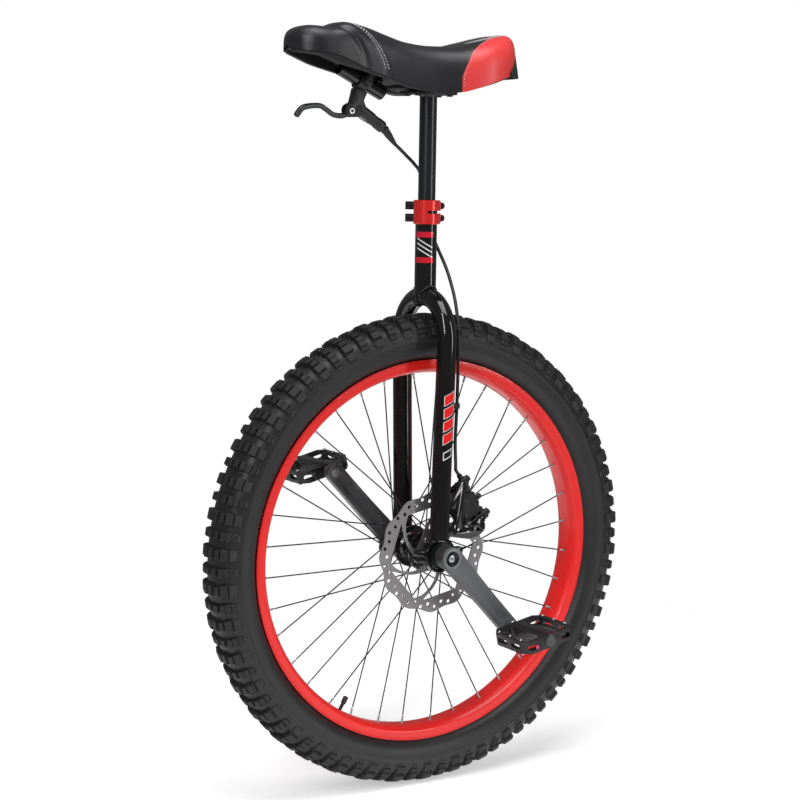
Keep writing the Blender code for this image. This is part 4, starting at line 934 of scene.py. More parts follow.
def settled(
    piece: Piece, name: str, body: str, finish: Finish, nodes: Sequence[str] = (),
    angle: float = 40.0, shade: bool = True,
) -> Piece:
    """Finishes a piece, names it and ties it to the frame.

    Args:
        piece: The piece, in place.
        name: Its name.
        body: The body that it moves with, or "" to leave it unattached.
        finish: The finish put on it.
        nodes: The CAD nodes that it stands for.
        angle: The angle over which an edge stays sharp, in degrees.
        shade: Whether to shade it smooth.

    Returns:
        The piece.
    """
    piece.data.materials.clear()
    piece.data.materials.append(finish.material())
    if shade:
        softened(piece, angle)
    piece.name = name
    piece.data.name = name
    if body:
        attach(piece, body)
    if nodes:
        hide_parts(*nodes)
    LOG.info("%s: %d faces on %s", name, len(piece.data.polygons), body or "two bodies")
    return piece


# ------------------------------------------------------------------ wheel
@dataclass
class Tyre:
    """The knobbly tyre: a smooth casing with rows of blocks round it."""

    radius: float = 0.352
    casing_radius: float = 0.3455
    groups: int = 42
    steps: int = 168
    casing: tuple[tuple[float, float], ...] = (
        (0.28, 0.0202), (0.286, 0.0205), (0.2882, 0.0228), (0.29, 0.0262), (0.2935, 0.03),
        (0.2985, 0.0331), (0.3045, 0.035), (0.3105, 0.0357), (0.314, 0.0358), (0.315, 0.0366),
        (0.316, 0.0366), (0.317, 0.0357), (0.324, 0.0343), (0.331, 0.0312), (0.337, 0.0262),
        (0.3415, 0.019), (0.3443, 0.0105), (0.3455, 0.0),
    )

    def build(self) -> None:
        """Builds the casing and its blocks."""
        mirrored = [(r, -y) for r, y in reversed(self.casing[:-1])]
        shell = lathe([*self.casing, *mirrored], ACROSS, self.steps, ring=True)
        settled(shell, "tyre_casing", "wheel", SIDEWALL, ("tyre",), 60)
        pads = round_axle(self.row(self.pads()), self.groups)
        settled(pads, "tyre_shoulder_pads", "wheel", TREAD_PAD, shade=False)
        blocks = round_axle(self.row(self.blocks()), self.groups)
        settled(blocks, "tyre_tread_blocks", "wheel", TREAD, shade=False)

    def blocks(self) -> list[tuple[float, ...]]:
        """Returns one group's blocks: turn, radius, side place, tilt, length, width, height."""
        step = math.tau / self.groups / 2
        tall = self.radius - self.casing_radius
        rows = []
        for side in (LEFT, RIGHT):
            rows += [
                (0.0, 0.3452, side * 0.0064, side * 4, 0.0172, 0.0104, tall + 0.0002),
                (0.0, 0.3424, side * 0.0184, side * 24, 0.0142, 0.0096, 0.0064),
                (0.0, 0.3372, side * 0.027, side * 46, 0.0182, 0.0126, 0.0062),
                (step, 0.3437, side * 0.0132, side * 15, 0.0122, 0.0104, 0.0058),
                (step, 0.3396, side * 0.0236, side * 36, 0.0132, 0.0094, 0.0056),
                (step, 0.335, side * 0.029, side * 52, 0.0142, 0.0092, 0.0046),
                (step, 0.329, side * 0.0328, side * 68, 0.0132, 0.0084, 0.0022),
            ]
        rows.append((step, 0.3455, 0.0, 0, 0.0118, 0.0112, tall - 0.0006))
        return rows

    def pads(self) -> list[tuple[float, ...]]:
        """Returns the flat pads down the sidewall, in the same terms."""
        rows = []
        for side in (LEFT, RIGHT):
            rows.append((0.0, 0.3278, side * 0.0333, side * 69, 0.016, 0.0128, 0.0022))
            rows.append(
                (math.pi / self.groups, 0.3226, side * 0.0346, side * 76, 0.0098, 0.006, 0.001)
            )
        return rows

    @staticmethod
    def row(sizes: list[tuple[float, ...]]) -> Piece:
        """Returns one group of blocks as a piece."""
        made = []
        for turn, radius, y, tilt, length, width, height in sizes:
            shape = block((-length / 2, -width / 2, -0.002), (length / 2, width / 2, height))
            with Shaping(shape) as shaping:
                shaping.faces(lambda centre, normal: normal.z > 0.9)
                bpy.ops.transform.resize(value=(0.86, 0.86, 1.0))
            bevelled(shape, 0.0008, 1)
            made.append(
                placed(shape, at(AXLE, -math.degrees(turn), "Y") @ at((0, y, radius), -tilt))
            )
        return joined(made[0], *made[1:])


@dataclass
class Rim:
    """The red rim with its spoke eyelets, and the tube's valve."""

    radius: float = 0.2855
    half_width: float = 0.0235
    wall: float = 0.0023
    seat: float = 0.2795
    well: float = 0.2682
    well_half: float = 0.0125
    inner: float = 0.2655
    inner_half: float = 0.01245
    side: float = 0.2715
    steps: int = 180
    valve_angle: float = math.radians(-59.4)
    valve_radius: float = 0.003

    def build(self) -> None:
        """Builds the rim and the valve."""
        e, w = self.half_width, self.wall
        half = [
            (self.inner, 0.0), (self.inner, self.inner_half * 0.82),
            (self.inner + 0.0004, self.inner_half), (self.side - 0.0006, e - 0.0012),
            (self.side + 0.0004, e - 0.0004), (self.side + 0.0018, e), (self.radius - 0.0032, e),
            (self.radius - 0.0026, e - 0.0005), (self.radius - 0.002, e), (self.radius - 0.0006, e),
            (self.radius, e - 0.0006), (self.radius, e - w), (self.seat, e - w),
            (self.seat - 0.001, self.well_half + 0.0045), (self.well, self.well_half),
        ]
        mirrored = [(r, -y) for r, y in reversed(half[1:])]
        rim = lathe([*half, *mirrored], ACROSS, self.steps, ring=True)
        settled(rim, "rim_red_shell", "wheel", RIM_RED, ("rim",), 28)
        self.valve()

    def valve(self) -> None:
        """Builds the valve with its threads and its knurled cap."""
        start = wheel_point(self.inner + 0.028, self.valve_angle, 0.0)
        end = wheel_point(self.inner - 0.022, self.valve_angle, 0.0)
        total, r = (end - start).length, self.valve_radius
        profile = [(0.0, 0.0), (r * 0.85, 0.0), (r * 0.85, total - 0.021)]
        for number in range(5):
            h = total - 0.0205 + number * 0.0016
            profile += [(r * 0.92, h), (r * 0.92, h + 0.0008), (r * 0.78, h + 0.0011)]
        profile += [
            (r * 1.25, total - 0.011), (r * 1.28, total - 0.002), (r * 0.9, total - 0.0003),
            (0.0, total),
        ]
        stem = lathe(profile, along(start, end), 24)
        settled(stem, "valve_with_cap", "wheel", RUBBER, ("valve_stem",))


@dataclass
class Spokes:
    """One side's spokes, each with its head and bend at the hub and its nipple at the rim."""

    side: int
    per_side: int = 18
    radius: float = 0.001
    turn: float = math.radians(60)
    circle: float = 0.0285
    flange_half: float = 0.0018
    rim_radius: float = 0.2655
    left_first: float = -54.4
    right_first: float = -44.4

    def build(self) -> None:
        """Builds the leading and the trailing spokes and copies them round."""
        flange = Hub.left_flange if self.side > 0 else Hub.right_flange
        first = math.radians(self.left_first if self.side > 0 else self.right_first)
        sets, nipples = [], []
        for leading in (0, 1):
            angle = first + leading * math.tau / self.per_side
            turn = self.turn if leading else -self.turn
            out = self.side * (self.flange_half + (0.002 if leading else 0.0014))
            start = wheel_point(self.circle, angle, flange + out)
            end = wheel_point(self.rim_radius + 0.0006, angle + turn, self.side * 0.003)
            through = wheel_point(
                self.circle, angle, flange - self.side * (self.flange_half + 0.0006)
            )
            way = (end - start).normalized()
            bend = [
                through, start - Vector((0, self.side * 0.0006, 0)), start + way * 0.001,
                end - way * 0.012,
            ]
            wire = sweep(bend, self.radius, 2)
            head = lathe(
                [(0.0, -0.0006), (0.0019, -0.0004), (0.0017, 0.0006), (0.0, 0.0007)],
                at(through, 90), 10,
            )
            sets.append(round_axle(joined(wire, head), self.per_side // 2))
            nipples.append(round_axle(self.nipple(end, way), self.per_side // 2))
        ends = joined(*nipples)
        settled(ends, side_name(self.side) + "_spoke_nipples", "wheel", NIPPLE_STEEL)
        spokes = joined(*sets)
        name = side_name(self.side) + "_spoke_wires"
        settled(spokes, name, "wheel", SPOKE_BLACK, (side_name(self.side) + "_spokes",), 50)

    @staticmethod
    def nipple(end: Vector, way: Vector) -> Piece:
        """Returns the nipple and its eyelet where a spoke meets the rim."""
        profile = [
            (0.0, -0.011), (0.0011, -0.011), (0.0015, -0.0102), (0.0016, -0.0022),
            (0.0024, -0.0006), (0.0025, 0.0004), (0.0, 0.0004),
        ]
        return lathe(profile, along(end, end + way), 12)


@dataclass
class Hub:
    """The hub shell, the brake rotor on it, and the bolts that hold the rotor."""

    flange_radius: float = 0.0315
    flange_half: float = 0.0018
    left_flange: float = 0.016
    right_flange: float = -0.025
    barrel: float = 0.019
    neck: float = 0.015
    end: float = 0.0435
    bore: float = 0.0113
    rotor_radius: float = 0.0881
    rotor_wave: float = 0.0021
    waves: int = 12
    holes: int = 42
    hole_radius: float = 0.00285
    ring: float = 0.0155
    rotor_y: float = 0.032
    rotor_thickness: float = 0.002
    arms: int = 6
    arm_width: float = 0.0054
    sweep: float = math.radians(48)
    centre: float = 0.0275
    spigot: float = 0.0172
    boss: float = 0.0255

    def build(self) -> None:
        """Builds the shell, the rotor and its bolts."""
        self.shell()
        self.rotor()
        self.bolts()

    def shell(self) -> None:
        """Builds the turned hub with its waisted barrel and rounded flanges."""
        fh, left, right, b = self.flange_half, self.left_flange, self.right_flange, self.barrel
        face = self.rotor_y - self.rotor_thickness / 2 - FIT
        f = self.flange_radius
        profile = [
            (self.bore, self.end), (self.neck - 0.0006, self.end), (self.neck, self.end - 0.0008),
            (self.neck, self.rotor_y + 0.003), (self.spigot, self.rotor_y + 0.002),
            (self.spigot, face), (self.boss, face), (self.boss, left + fh + 0.0008),
            (f - 0.0012, left + fh), (f, left + fh * 0.4), (f, left - fh * 0.4),
            (f - 0.0012, left - fh), (b + 0.003, left - fh), (b, left - fh - 0.003),
            (b * 0.9, (left + right) / 2), (b, right + fh + 0.003), (b + 0.003, right + fh),
            (f - 0.0012, right + fh), (f, right + fh * 0.4), (f, right - fh * 0.4),
            (f - 0.0012, right - fh), (b + 0.002, right - fh), (b, right - 0.005),
            (self.neck, right - 0.0085), (self.neck, -self.end + 0.0008),
            (self.neck - 0.0006, -self.end), (self.bore, -self.end),
        ]
        hub = lathe(profile, ACROSS, 72, ring=True)
        settled(hub, "hub_turned_shell", "wheel", HUB_BLACK, ("hub_shell",), 30)

    def rotor(self) -> None:
        """Builds the wavy ring with its drilled holes and curved arms."""
        count = self.waves * 18
        edge = []
        for i in range(count):
            a = math.tau * i / count
            r = self.rotor_radius + self.rotor_wave * math.cos(self.waves * a)
            edge.append((r * math.cos(a), r * math.sin(a)))
        loops = [edge, *self.windows(), ring_points(self.spigot + FIT, 48)]
        for i in range(self.holes):
            a = math.tau * i / self.holes
            r = self.rotor_radius - (0.006 if i % 2 else 0.0106)
            loops.append(ring_points(self.hole_radius, 14, (r * math.cos(a), r * math.sin(a))))
        place = UPRIGHT @ at((0, 0, -self.rotor_y))
        disc = plate(loops, self.rotor_thickness, place)
        bevelled(disc, 0.00025, 1, 60)
        settled(disc, "rotor_drilled_disc", "wheel", ROTOR_STEEL, ("brake_rotor",), 35)

    def windows(self) -> list[list[tuple[float, float]]]:
        """Returns the outlines of the openings between the rotor's arms."""
        inner, outer, pitch = self.centre, self.rotor_radius - self.ring, math.tau / self.arms
        found, steps = [], 14
        for arm in range(self.arms):
            window = []
            for which, order in ((0, range(steps + 1)), (1, range(steps, -1, -1))):
                for step in order:
                    t = step / steps
                    radius = inner + (outer - inner) * t
                    flare = self.arm_width / 2 + 0.005 * (t**8 + (1 - t) ** 8)
                    angle = (arm + which) * pitch + self.sweep * t**0.85 + (
                        1 - 2 * which
                    ) * flare / radius
                    window.append((radius * math.cos(angle), radius * math.sin(angle)))
            found.append(window)
        return found

    def bolts(self) -> None:
        """Builds the rotor bolts."""
        face = self.rotor_y + self.rotor_thickness / 2
        place = Matrix.Translation((0.0222, 0.0, face))
        head = lathe(
            [
                (0.0, 0.0011), (0.0014, 0.0011), (0.0016, 0.0021), (0.003, 0.0021),
                (0.0037, 0.0012), (0.0037, 0.0),
            ],
            place, 18,
        )
        placed(head, ACROSS)
        settled(round_axle(head, self.arms), "rotor_bolts", "wheel", STEEL)


# ------------------------------------------------------------------ cranks and pedals
@dataclass
class Crank:
    """One crank arm with its boss, its bolt and the pedal's spindle end."""

    side: int
    length: float = 0.15
    angle: float = math.radians(47)
    face: float = 0.0893
    thickness: float = 0.013
    boss_radius: float = 0.0175
    boss_length: float = 0.0235
    end_radius: float = 0.0135
    waist: float = 0.0012

    def placing(self) -> Matrix:
        """Returns the placing with local X along the arm and local Z outwards."""
        arm = Vector((-self.side * math.cos(self.angle), 0.0, -self.side * math.sin(self.angle)))
        out = Vector((0.0, self.side, 0.0))
        turned = Matrix((arm, out.cross(arm), out)).transposed().to_4x4()
        return Matrix.Translation(AXLE) @ turned

    def outline(self) -> list[tuple[float, float]]:
        """Returns the arm's outline: two round ends, with a slight waist between them."""
        points = []
        big = self.boss_radius * 0.97
        for i in range(25):
            a = math.radians(85) + math.radians(190) * i / 24
            points.append((big * math.cos(a), big * math.sin(a)))
        waist = []
        for i in range(1, 12):
            t = i / 12
            half = big + (self.end_radius - big) * t - self.waist * math.sin(math.pi * t)
            waist.append((self.length * t, half))
        points += [(x, -half) for x, half in waist]
        for i in range(19):
            a = math.radians(-90) + math.pi * i / 18
            points.append(
                (self.length + self.end_radius * math.cos(a), self.end_radius * math.sin(a))
            )
        return points + waist[::-1]

    def build(self) -> None:
        """Builds the arm, its boss, its face ring and its bolt; the boss's darker grey is painted
        shade in the bolt recess and the ring's lighter grey is a painted highlight.
        """
        place, name = self.placing(), side_name(self.side)
        top, low = self.face, self.face - self.boss_length
        arm = plate(
            [self.outline()], self.thickness, Matrix.Translation((0, 0, top - self.thickness / 2))
        )
        cutters = [
            rod((0, 0, 0), (0, 0, 0.2), 0.0118, sides=48),
            rod((0, 0, top - 0.005), (0, 0, 0.2), 0.015, sides=64),
        ]
        half = self.end_radius * 0.55
        cutters.append(
            block(
                (0.034, -half, low - 0.02),
                (self.length - 0.022, half, top - self.thickness + 0.0045), 0.002,
            )
        )
        cutters.append(rod((self.length, 0, 0), (self.length, 0, 0.2), 0.0074, sides=32))
        bevelled(cut(arm, *cutters), 0.0011, 3, 50)
        settled(
            placed(arm, place), name + "_crank_arm", "wheel", CRANK_GREY, (name + "_crank",), 35
        )
        # The boss's darker grey is painted shade in the bolt recess.
        r = self.boss_radius
        boss = lathe(
            [
                (0.0113, low), (r - 0.0008, low), (r, low + 0.0008), (r, top - 0.0022),
                (r - 0.0009, top - 0.0009), (0.015, top - 0.0006), (0.015, low + 0.004),
                (0.0113, low + 0.004),
            ],
            place, 72, ring=True,
        )
        settled(boss, name + "_crank_boss", "wheel", BOSS_PAINTED_SHADE, (), 30)
        # The face ring's lighter grey is a painted highlight on the lip of the bolt recess.
        face_ring = lathe(
            [
                (0.011, top - 0.0034), (0.011, top - 0.0004), (0.0116, top + 0.0001),
                (0.014, top + 0.0001), (0.0158, top - 0.0003), (0.0163, top - 0.001),
                (0.0149, top - 0.0034),
            ],
            place, 72, ring=True,
        )
        settled(face_ring, name + "_crank_face_ring", "wheel", PALE_METAL_AND_RING_HIGHLIGHT, (), 30)
        self.bolt(place, name)

    def bolt(self, place: Matrix, name: str) -> None:
        """Builds the black dished bolt and the bright hexagon socket in its middle."""
        top = self.face - 0.0008
        dish = lathe(
            [
                (0.0, top - 0.0036), (0.0056, top - 0.0036), (0.0066, top - 0.0022),
                (0.0084, top - 0.0012), (0.0098, top - 0.0004), (0.0106, top - 0.0012),
                (0.0106, top - 0.0042), (0.0053, top - 0.0042), (0.0053, top - 0.03),
                (0.0, top - 0.03),
            ],
            place, 48,
        )
        settled(dish, name + "_crank_bolt_dish", "wheel", BOLT_BLACK, (name + "_crank_bolt",), 30)
        outer = ring_points(0.0052, 36)
        hexagon = ring_points(0.0032, 6)
        nut = plate([outer, hexagon], 0.0016, place @ at((0, 0, top - 0.0028)), 0.0003)
        floor = rod((0, 0, top - 0.004), (0, 0, top - 0.0033), 0.004, sides=24)
        core = joined(nut, placed(floor, place))
        settled(core, name + "_crank_bolt_socket", "wheel", STEEL, (), 30)


@dataclass
class Pedal:
    """One platform pedal: cage, axle barrel, grip pins and end cap."""

    side: int
    length: float = 0.15
    angle: float = math.radians(47)
    inner: float = 0.1045
    width: float = 0.091
    depth: float = 0.087
    thickness: float = 0.018
    barrel: float = 0.0125
    rail: float = 0.0075
    bore: float = 0.0064
    left_tilt: float = 12.0
    right_tilt: float = 15.0

    def place(self) -> Matrix:
        """Returns the pedal's placing: local Y outwards along its spindle, its front down."""
        tilt = self.left_tilt if self.side > 0 else self.right_tilt
        reach = -self.side * self.length
        x, z = reach * math.cos(self.angle), reach * math.sin(self.angle)
        return at(up(x, 0, z), tilt, "Y") @ Matrix.Diagonal((1, self.side, 1, 1))

    def build(self) -> None:
        """Builds the cage, the pins, the end cap and the side plug."""
        name = side_name(self.side) + "_pedal"
        high = self.inner + self.width
        cage, pins = self.cage(), self.pins()
        cap = lathe(
            [
                (0.0, 0.0003), (0.003, 0.0003), (0.0034, -0.0004), (0.0062, -0.0004),
                (0.0088, -0.001), (0.0092, -0.004), (0.0, -0.004),
            ],
            at((0, high, 0), -90), 40,
        )
        plug = lathe(
            [(0.0, 0.0006), (0.0026, 0.0004), (0.0032, -0.0006), (0.0, -0.001)],
            at((0.024, high - 0.0004, -0.001), -90), 20,
        )
        for piece, title, finish, nodes, angle in (
            (cage, "_cage", PEDAL_BLACK, (name,), 35), (pins, "_pins", STEEL, (), 40),
            (cap, "_end_cap", CAP_GREY, (), 40), (plug, "_side_plug", PINK_DOT, (), 40),
        ):
            cleaned(placed(piece, self.place()))
            settled(piece, name + title, name + "_body", finish, nodes, angle)

    def cage(self) -> Piece:
        """Returns the open platform with its barrel, windows and concave faces."""
        low, high = self.inner, self.inner + self.width
        half, thick, corner = self.depth / 2, self.thickness / 2, 0.011
        plan = [
            (-half, low + corner * 1.3), (-half + corner, low), (half - corner, low),
            (half, low + corner * 1.3), (half, high - corner * 1.6),
            (half - corner * 0.8, high - 0.001), (-half + corner * 0.8, high - 0.001),
            (-half, high - corner * 1.6),
        ]
        body = plate([plan], self.thickness)
        inner_x = self.barrel - 0.001
        for sign in (-1, 1):
            x_low, x_high = sorted((sign * inner_x, sign * (half - self.rail)))
            cut(body, block((x_low, low + 0.0125, -0.05), (x_high, high - 0.0125, 0.05), 0.004, 3))
            x = sign * (half + self.barrel) / 2
            cut(
                body,
                block(
                    (x - 0.0095, low - 0.02, -thick * 0.45),
                    (x + 0.0095, high + 0.02, thick * 0.42), 0.0035, 3,
                ),
            )
            for z in (-1, 1):
                hollow = rod(
                    (sign * 0.024, low + 0.007, z * (thick + 0.062)),
                    (sign * 0.024, high - 0.007, z * (thick + 0.062)), 0.0636, sides=96,
                )
                cut(body, hollow)
            slots = block(
                (sign * half - 0.02, low + 0.018, -thick * 0.42),
                (sign * half + 0.02, low + 0.04, thick * 0.42), 0.002,
            )
            other = block(
                (sign * half - 0.02, high - 0.04, -thick * 0.42),
                (sign * half + 0.02, high - 0.018, thick * 0.42), 0.002,
            )
            cut(body, slots, other)
        bevelled(body, 0.001, 2, 40)
        barrel = rod(
            (0, low - 0.0003, 0), (0, high - 0.0008, 0), self.barrel * 0.84, rounding=0.0012,
            sides=40,
        )
        fused(body, barrel)
        cut(body, rod((0, low - 0.01, 0), (0, high - 0.008, 0), self.bore, sides=32))
        return body

    def pins(self) -> Piece:
        """Returns the threaded grip pins along the front and rear rails, above and below."""
        half, thick = self.depth / 2 - 0.0042, self.thickness / 2
        made = []
        for x in (-half, half):
            for share in (0.2, 0.5, 0.8):
                y = self.inner + self.width * share
                for z in (1, -1):
                    pin = lathe(
                        [
                            (0.0, -0.004), (0.0021, -0.004), (0.0021, 0.0016), (0.0024, 0.002),
                            (0.0024, 0.0036), (0.0018, 0.0042), (0.0011, 0.0042), (0.0008, 0.0034),
                            (0.0, 0.0034),
                        ],
                        at((x, y, z * (thick - 0.0012)), 0 if z > 0 else 180), 14,
                    )
                    made.append(pin)
        return joined(*made)


# ------------------------------------------------------------------ frame
@dataclass
class Fork:
    """The two legs with their crown, the seat tube and the bearing housings."""

    leg_radius: float = 0.0143
    bearing_y: float = 0.05
    crown_radius: float = 0.062
    crown_z: float = 0.315
    tube_radius: float = 0.0159
    tube_low: float = 0.366
    tube_high: float = 0.514
    bore: float = 0.013
    housing_radius: float = 0.0255
    housing_width: float = 0.015
    bearing_radius: float = 0.021
    ear_reach: float = 0.039
    ear_thickness: float = 0.009
    crown_weld: float = 0.0018
    crown_ripple: float = 0.0004
    housing_weld: float = 0.0015
    housing_ripple: float = 0.0003

    def leg_y(self, z: float) -> float:
        """Returns how far out the leg's middle is at a height over the axle."""
        return self.bearing_y + (
            self.crown_radius - self.bearing_y
        ) * min(z, self.crown_z) / self.crown_z

    def leg_path(self, side: int, low: float = 0.02) -> list[Vector]:
        """Returns the leg's line from its housing up and round the crown."""
        points = [up(0, side * self.leg_y(z), z) for z in (low, 0.1, 0.2, 0.29, self.crown_z)]
        for step in range(1, 19):
            a = math.radians(88) * step / 18
            points.append(
                up(
                    0, side * self.crown_radius * math.cos(a),
                    self.crown_z + self.crown_radius * math.sin(a),
                )
            )
        return points

    def build(self) -> None:
        """Builds the legs, the seat tube, the welds and the housings."""
        for side in (LEFT, RIGHT):
            self.leg(side)
            self.housing(side)
        self.seat_tube()

    def leg(self, side: int) -> None:
        """Builds one leg, coped to the seat tube and to its housing, with a weld at each end."""
        name = side_name(side)
        paint = LEG_PAINT if side > 0 else FRAME_BLACK
        leg = sweep(self.leg_path(side), self.leg_radius, 12)
        cope = rod(
            up(0, side * 0.02, 0), up(0, side * 0.09, 0), self.housing_radius + FIT, sides=64
        )
        seat = rod(up(0, 0, 0.3), up(0, 0, 0.6), self.tube_radius + FIT * 0.5, sides=64)
        cut(leg, cope, seat)
        settled(leg, name + "_leg_tube", "frame", paint, (name + "_leg",), 40)
        self.weld(side, name)

    def weld(self, side: int, name: str) -> None:
        """Builds the rippled weld bead round the leg's joint with the seat tube."""
        centre_z = self.crown_z + self.crown_radius
        points = []
        for i in range(97):
            a = math.tau * i / 96
            x = self.leg_radius * math.cos(a) * 1.02
            z = centre_z + self.leg_radius * math.sin(a) * 1.02 - 0.0002
            y = math.sqrt(max((self.tube_radius + 0.0005) ** 2 - x * x, 0.000004))
            points.append(up(x, side * y, z))
        sizes = [
            self.crown_weld + self.crown_ripple * math.sin(i * math.tau / 4) for i in range(97)
        ]
        bead = sweep(points, sizes, 2)
        settled(bead, name + "_crown_weld", "frame", FRAME_BLACK, (), 60)

    def seat_tube(self) -> None:
        """Builds the seat tube with its slit and rounded rims."""
        r, low, high, b = self.tube_radius, self.tube_low, self.tube_high, self.bore
        tube = lathe(
            [
                (r, low + 0.0005), (r, high - 0.0006), (r - 0.0006, high), (b + 0.0005, high),
                (b, high - 0.0005), (b, low + 0.0005), (b + 0.0005, low), (r - 0.0005, low),
            ],
            at(AXLE), 96, ring=True,
        )
        slit = block((-0.03, -0.0012, 0.476), (0.0, 0.0012, 0.53), placing=at(AXLE, 58.6, "Z"))
        settled(cut(tube, slit), "seat_tube_with_slit", "frame", TUBE_PAINT, ("seat_tube",), 35)

    def housing(self, side: int) -> None:
        """Builds both halves of one bearing housing, with ears, and the weld where the leg meets
        it.
        """
        name = side_name(side)
        half, r, b = self.housing_width / 2, self.housing_radius, self.bearing_radius + FIT
        place = facing(side) @ at((0, 0, self.bearing_y))
        ring = [
            (b, -half), (r - 0.0007, -half), (r, -half + 0.0007), (r, half - 0.0007),
            (r - 0.0007, half), (b + 0.0006, half), (b, half - 0.0006),
        ]
        for upper in (True, False):
            shell = lathe(ring, place, 72, ring=True)
            sign = 1 if upper else -1
            for end in (-1, 1):
                x_low, x_high = sorted((end * (b + 0.0012), end * self.ear_reach))
                z_low, z_high = sorted((0.0, sign * self.ear_thickness))
                low_y, high_y = sorted(
                    (side * (self.bearing_y - half), side * (self.bearing_y + half))
                )
                ear = block(
                    up(x_low, low_y + 0.0004, z_low), up(x_high, high_y - 0.0004, z_high), 0.0018, 3
                )
                fused(shell, ear)
            z_low, z_high = (-0.06, 0.00015) if upper else (-0.00015, 0.06)
            cut(shell, block(up(-0.06, -0.1, z_low), up(0.06, 0.1, z_high)))
            node = name + ("_bearing_housing" if upper else "_bearing_cap")
            title = name + ("_housing_upper_half" if upper else "_housing_lower_half")
            settled(shell, title, "frame", FRAME_BLACK, (node,), 35)
        points = []
        for i in range(65):
            a = math.tau * i / 64
            x = (self.leg_radius + 0.0003) * math.cos(a)
            y = side * self.leg_y(0.02) + (self.leg_radius * 0.52) * math.sin(a) * side
            points.append(up(x, y, math.sqrt(r * r - x * x) + 0.0004))
        weld = sweep(
            points,
            [
                self.housing_weld + self.housing_ripple * math.sin(i * math.tau / 4)
                for i in range(65)
            ],
            2,
        )
        settled(weld, name + "_housing_weld", "frame", FRAME_BLACK, (), 60)


@dataclass
class SeatClamp:
    """The red double collar with its two bolts."""

    low: float = 0.482
    high: float = 0.517
    radius: float = 0.019
    slot: float = 0.0045
    turn: float = 148.6
    offset: float = 0.0245
    head: float = 0.006
    dome: float = 0.005
    shank: float = 0.003
    bolt_inset: float = 0.0085

    def build(self) -> None:
        """Builds the collar and its bolts."""
        low, high, mid = self.low, self.high, (self.low + self.high) / 2
        r = self.radius
        place = at(AXLE, self.turn, "Z")
        collar = lathe(tube_section(0.0, r, low, high, 0.0008), steps=96)
        boss = block(
            (-0.015, self.offset - 0.02, low + 0.0002),
            (0.021, self.offset + 0.0062, high - 0.0002), 0.0022, 3,
        )
        fused(collar, boss)
        cut(
            collar, rod((0, 0, low - 0.01), (0, 0, 0.5143), 0.0162, sides=64),
            rod((0, 0, low - 0.02), (0, 0, high + 0.01), 0.0133, sides=64),
            block((-0.0012, 0, low - 0.01), (0.0012, self.offset + 0.02, high + 0.01)),
            block((0.002, -0.03, mid - self.slot / 2), (0.04, 0.04, mid + self.slot / 2), 0.0008),
        )
        for z in (low + self.bolt_inset, high - self.bolt_inset):
            cut(
                collar,
                rod((-0.05, self.offset, z), (0.05, self.offset, z), self.shank + FIT, sides=24),
            )
        bevelled(collar, 0.0004, 2, 50)
        settled(placed(collar, place), "clamp_red_collar", "frame", CLAMP_RED, ("seat_clamp",), 35)
        self.bolt("lower_clamp_bolt", low + self.bolt_inset, place)
        self.bolt("upper_clamp_bolt", high - self.bolt_inset, place)

    def bolt(self, node: str, z: float, place: Matrix) -> None:
        """Builds one socket-head bolt and its domed nut end."""
        h, d = self.head, self.dome
        across = at((0, self.offset, z), 90, "Y")
        profile = [
            (0.0, -0.0262), (0.003, -0.0262), (0.0032, -0.0308), (h - 0.0006, -0.031), (h, -0.0304),
            (h, -0.0156), (h - 0.0005, -0.0152), (self.shank, -0.015), (self.shank, 0.0212),
            (d, 0.0213), (d * 0.98, 0.0238), (d * 0.8, 0.0257), (d * 0.45, 0.0269), (0.0, 0.0272),
        ]
        bolt = lathe(profile, across, 36)
        settled(placed(bolt, place), node + "_and_nut", "frame", BOLT_BLACK, (node,), 35)


